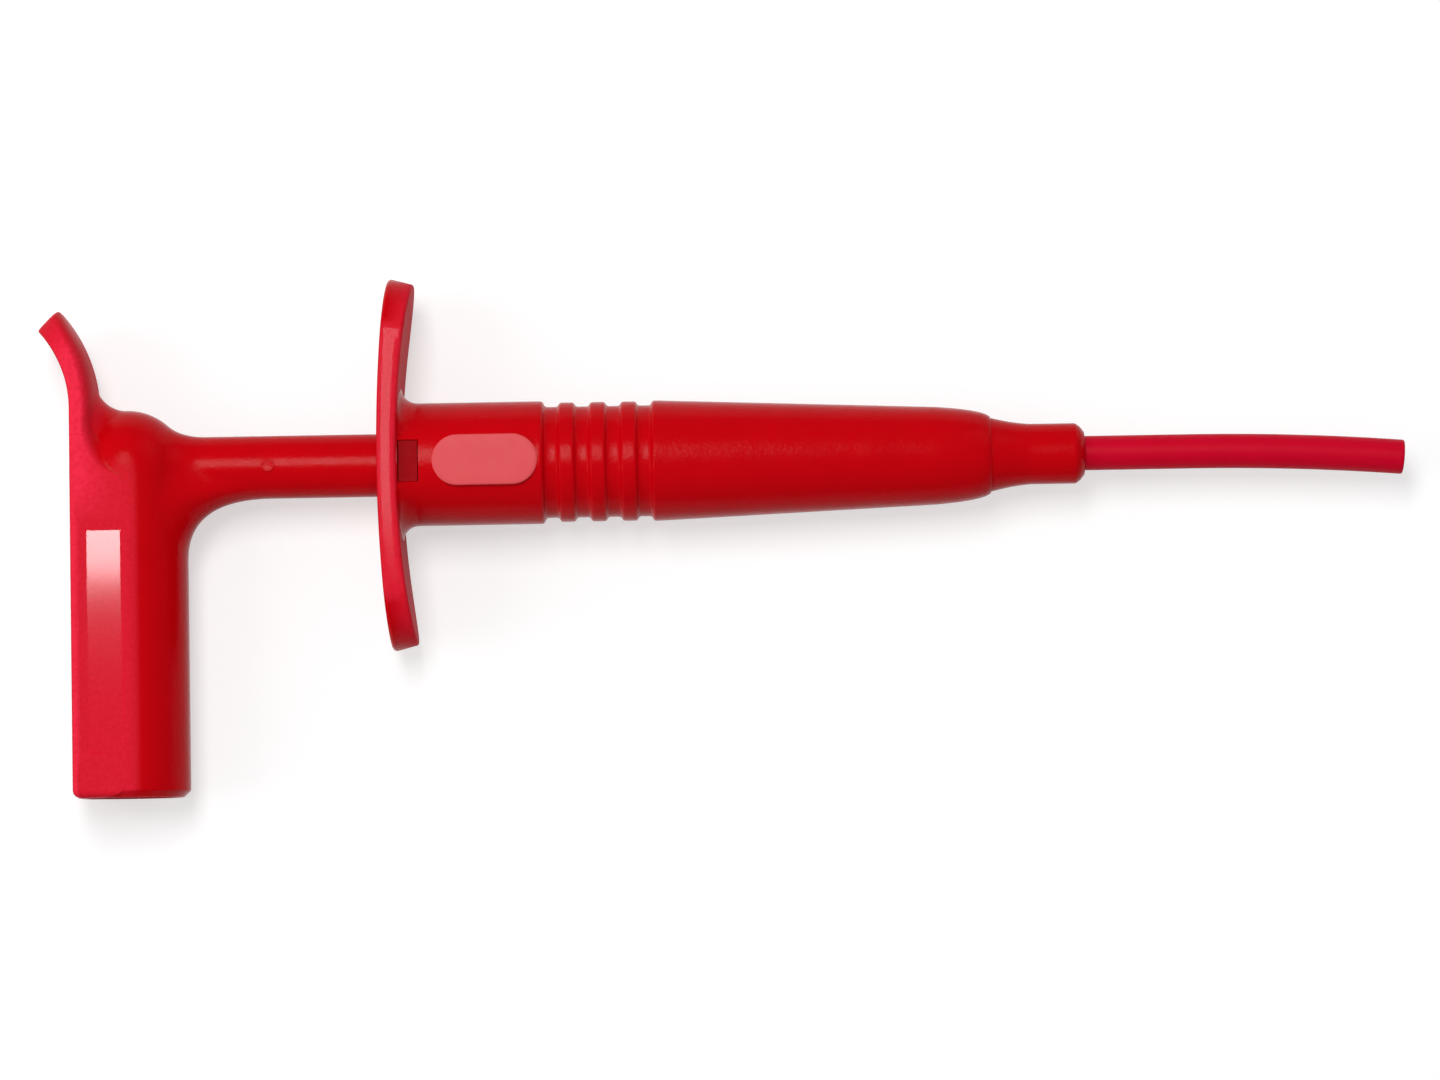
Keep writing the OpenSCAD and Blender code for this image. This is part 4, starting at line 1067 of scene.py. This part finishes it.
# The ball shrinks like a cosine whose zero falls at 66 degrees instead of 90.
ball = ROOT_BALL * np.cos(swing * 90 / ROOT_VANISH) ** ROOT_POWER
ball_x = ball - wing_off
ball_up = np.sqrt(LEG_R**2 - wing_off**2 + 2 * ball * (LEG_R + wing_off))
t = np.linspace(0, 1, ROOT_STEPS)
touch = np.pi * (1 - t) + (np.arctan2(-ball_up, -ball_x) + 2 * np.pi) * t
# The wing's front bows away above its bend and rounds off towards its sides, and the fillet follows both.
aside = np.clip((ball_up * np.abs(np.sin(swing)) - ROLL_FROM) / ROLL_WIDTH, 0, ROLL_MOST)
bend_bow = np.maximum(ball_up * np.cos(swing) - WING_FROM, 0) ** 2 / (2 * front_arc_r)
bow = bend_bow + ROLL_DROP * (1 - np.sqrt(1 - aside**2))
arc_x = ball_x + ball * np.cos(touch) - bow * (1 - t) ** 2
arc_up = ball_up + ball * np.sin(touch)
low_x = ball_x * LEG_R / (LEG_R + ball) * ROOT_LOW
core_r = np.full(swing.shape, ROOT_CORE_R)
root_x = np.concatenate([arc_x, low_x, -wing_off - ROOT_SINK - bow], 1)
root_up = np.concatenate([arc_up, core_r, core_r], 1)
wing_root = shell(np.stack([LEG_X + root_x, root_up * np.cos(swing), root_up * np.sin(swing)], -1))
# The fillet carries the wing's painted sheen and the flats' roughness, fading towards the dome.
root_flat = ROOT_FLAT * np.concatenate([1 - fade(t, 0, 1), [0, 1]]) * np.ones(root_x.shape)
print("wing root: ball of", ball.min().round(2), "to", ball.max().round(2), "mm")

# %% [markdown]
# ## Handle: gate mark
# The melt entered the mould through a small gate on the shaft, and left a low round pip with a raised rim.
# A bump texture would show it from above only. It is a tiny turned profile instead, upright on the shaft.
# The five shells then become one piece.

# %% gate mark and handle
GATE_X, GATE_BASE, GATE_SHOULDER, GATE_FLOOR, GATE_TOP, GATE_POINTS = -11.2, 3.0, 3.22, 3.235, 3.27, 40
GATE_R, SHOULDER_R, RIM_OUT_R, RIM_IN_R, DISH_R, CENTRE_R = 0.72, 0.70, 0.62, 0.50, 0.46, 0.01
GATE_SOFT, RIM_SOFT, DISH_SOFT = 0.05, 0.04, 0.03
gate_profile = rounded([
    (GATE_BASE, GATE_R, 0), (GATE_SHOULDER, SHOULDER_R, GATE_SOFT), (GATE_TOP, RIM_OUT_R, RIM_SOFT),
    (GATE_TOP, RIM_IN_R, DISH_SOFT), (GATE_FLOOR, DISH_R, DISH_SOFT), (GATE_FLOOR, CENTRE_R, 0),
])
gate_rings = turned(gate_profile, full_turn(GATE_POINTS))
gate = shell(np.stack([GATE_X + gate_rings[..., 1], gate_rings[..., 2], gate_rings[..., 0]], -1))
handle_flat = np.concatenate([
    leg_flat.ravel(), thumb_flat.ravel(), unmasked(horn), root_flat.ravel(), unmasked(gate),
])
handle_panel = np.concatenate([
    unmasked(leg), thumb_panel.ravel(), unmasked(horn), unmasked(wing_root), unmasked(gate),
])
handle_shells = [leg, thumb, horn, wing_root, gate]
handle_masks = [("flat", handle_flat), ("panel", handle_panel)]
make("handle_moulding", handle_shells, RED, "plunger", "red_moulding", "handle", masks=handle_masks)

# %% [markdown]
# ## Return spring
# The spring pushes the handle back. It is a circle carried along a helix whose pitch closes at both ends,
# as on a spring with closed ends. A Screw modifier winds an even helix only, so this climb is worked out.
# On the real clip the spring shortens against the wall in the barrel as the handle goes in.

# %% spring
COILS, WIRE_R, SPRING_R, COIL_STEPS, WIRE_POINTS = 11, 0.3, 3.5, 40, 12
SPRING_FROM, SPRING_GAP, CLOSED_TURNS, CLOSED_PITCH = 11.05, 0.01, 0.75, 0.69
spring_start, spring_end = SPRING_FROM + WIRE_R + SPRING_GAP, WALL_X - WIRE_R - SPRING_GAP
run, closed = spring_end - spring_start, CLOSED_TURNS * CLOSED_PITCH
turns = np.linspace(0, COILS, COILS * COIL_STEPS + 1)[:, None]
climb = np.interp(turns, [0, CLOSED_TURNS, COILS - CLOSED_TURNS, COILS], [0, closed, run - closed, run])
coil_turn = 2 * np.pi * turns
wire_turn = full_turn(WIRE_POINTS)
spoke = SPRING_R + WIRE_R * np.cos(wire_turn)
helix = np.stack([
    spring_start + climb + WIRE_R * np.sin(wire_turn), spoke * np.cos(coil_turn), spoke * np.sin(coil_turn),
], -1)
spring = make("helical_spring", [shell(helix)], STEEL, "barrel", "spring_steel", "return_spring")
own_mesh(spring)

# %% [markdown]
# ## Hidden metal and plastic
# Contact, rod, cable and jaws are turned or bent metal with crisp edges. Bush, guard and collar are simple.
# They could be drawn again too, but the CAD meshes already show them well, so they only get a finish.

# %% finishes on CAD nodes
# Bush and guard take the darker red; on the bush's catch part of that darkness is painted shade.
FINISH = {
    "guide_bush": DARK_RED_AND_SHADE, "finger_guard": DARK_RED_AND_SHADE, "stop_collar": BLACK,
    "socket_contact": NICKEL, "hook_head": NICKEL,
    "clamp_screw": STEEL, "upper_jaw": STEEL, "lower_jaw": STEEL,
    "core_rod": BRASS, "crimp_sleeve": BRASS, "core_cable": BRASS,
}
for name, material in FINISH.items():
    materials = frame["nodes"][name].data.materials
    materials.clear()
    materials.append(material)
print("finished CAD nodes:", len(FINISH))

# %% [markdown]
# ## Last update
# The view layer is brought up to date, so that every piece stands where it was placed.

# %% finish
bpy.context.view_layer.update()
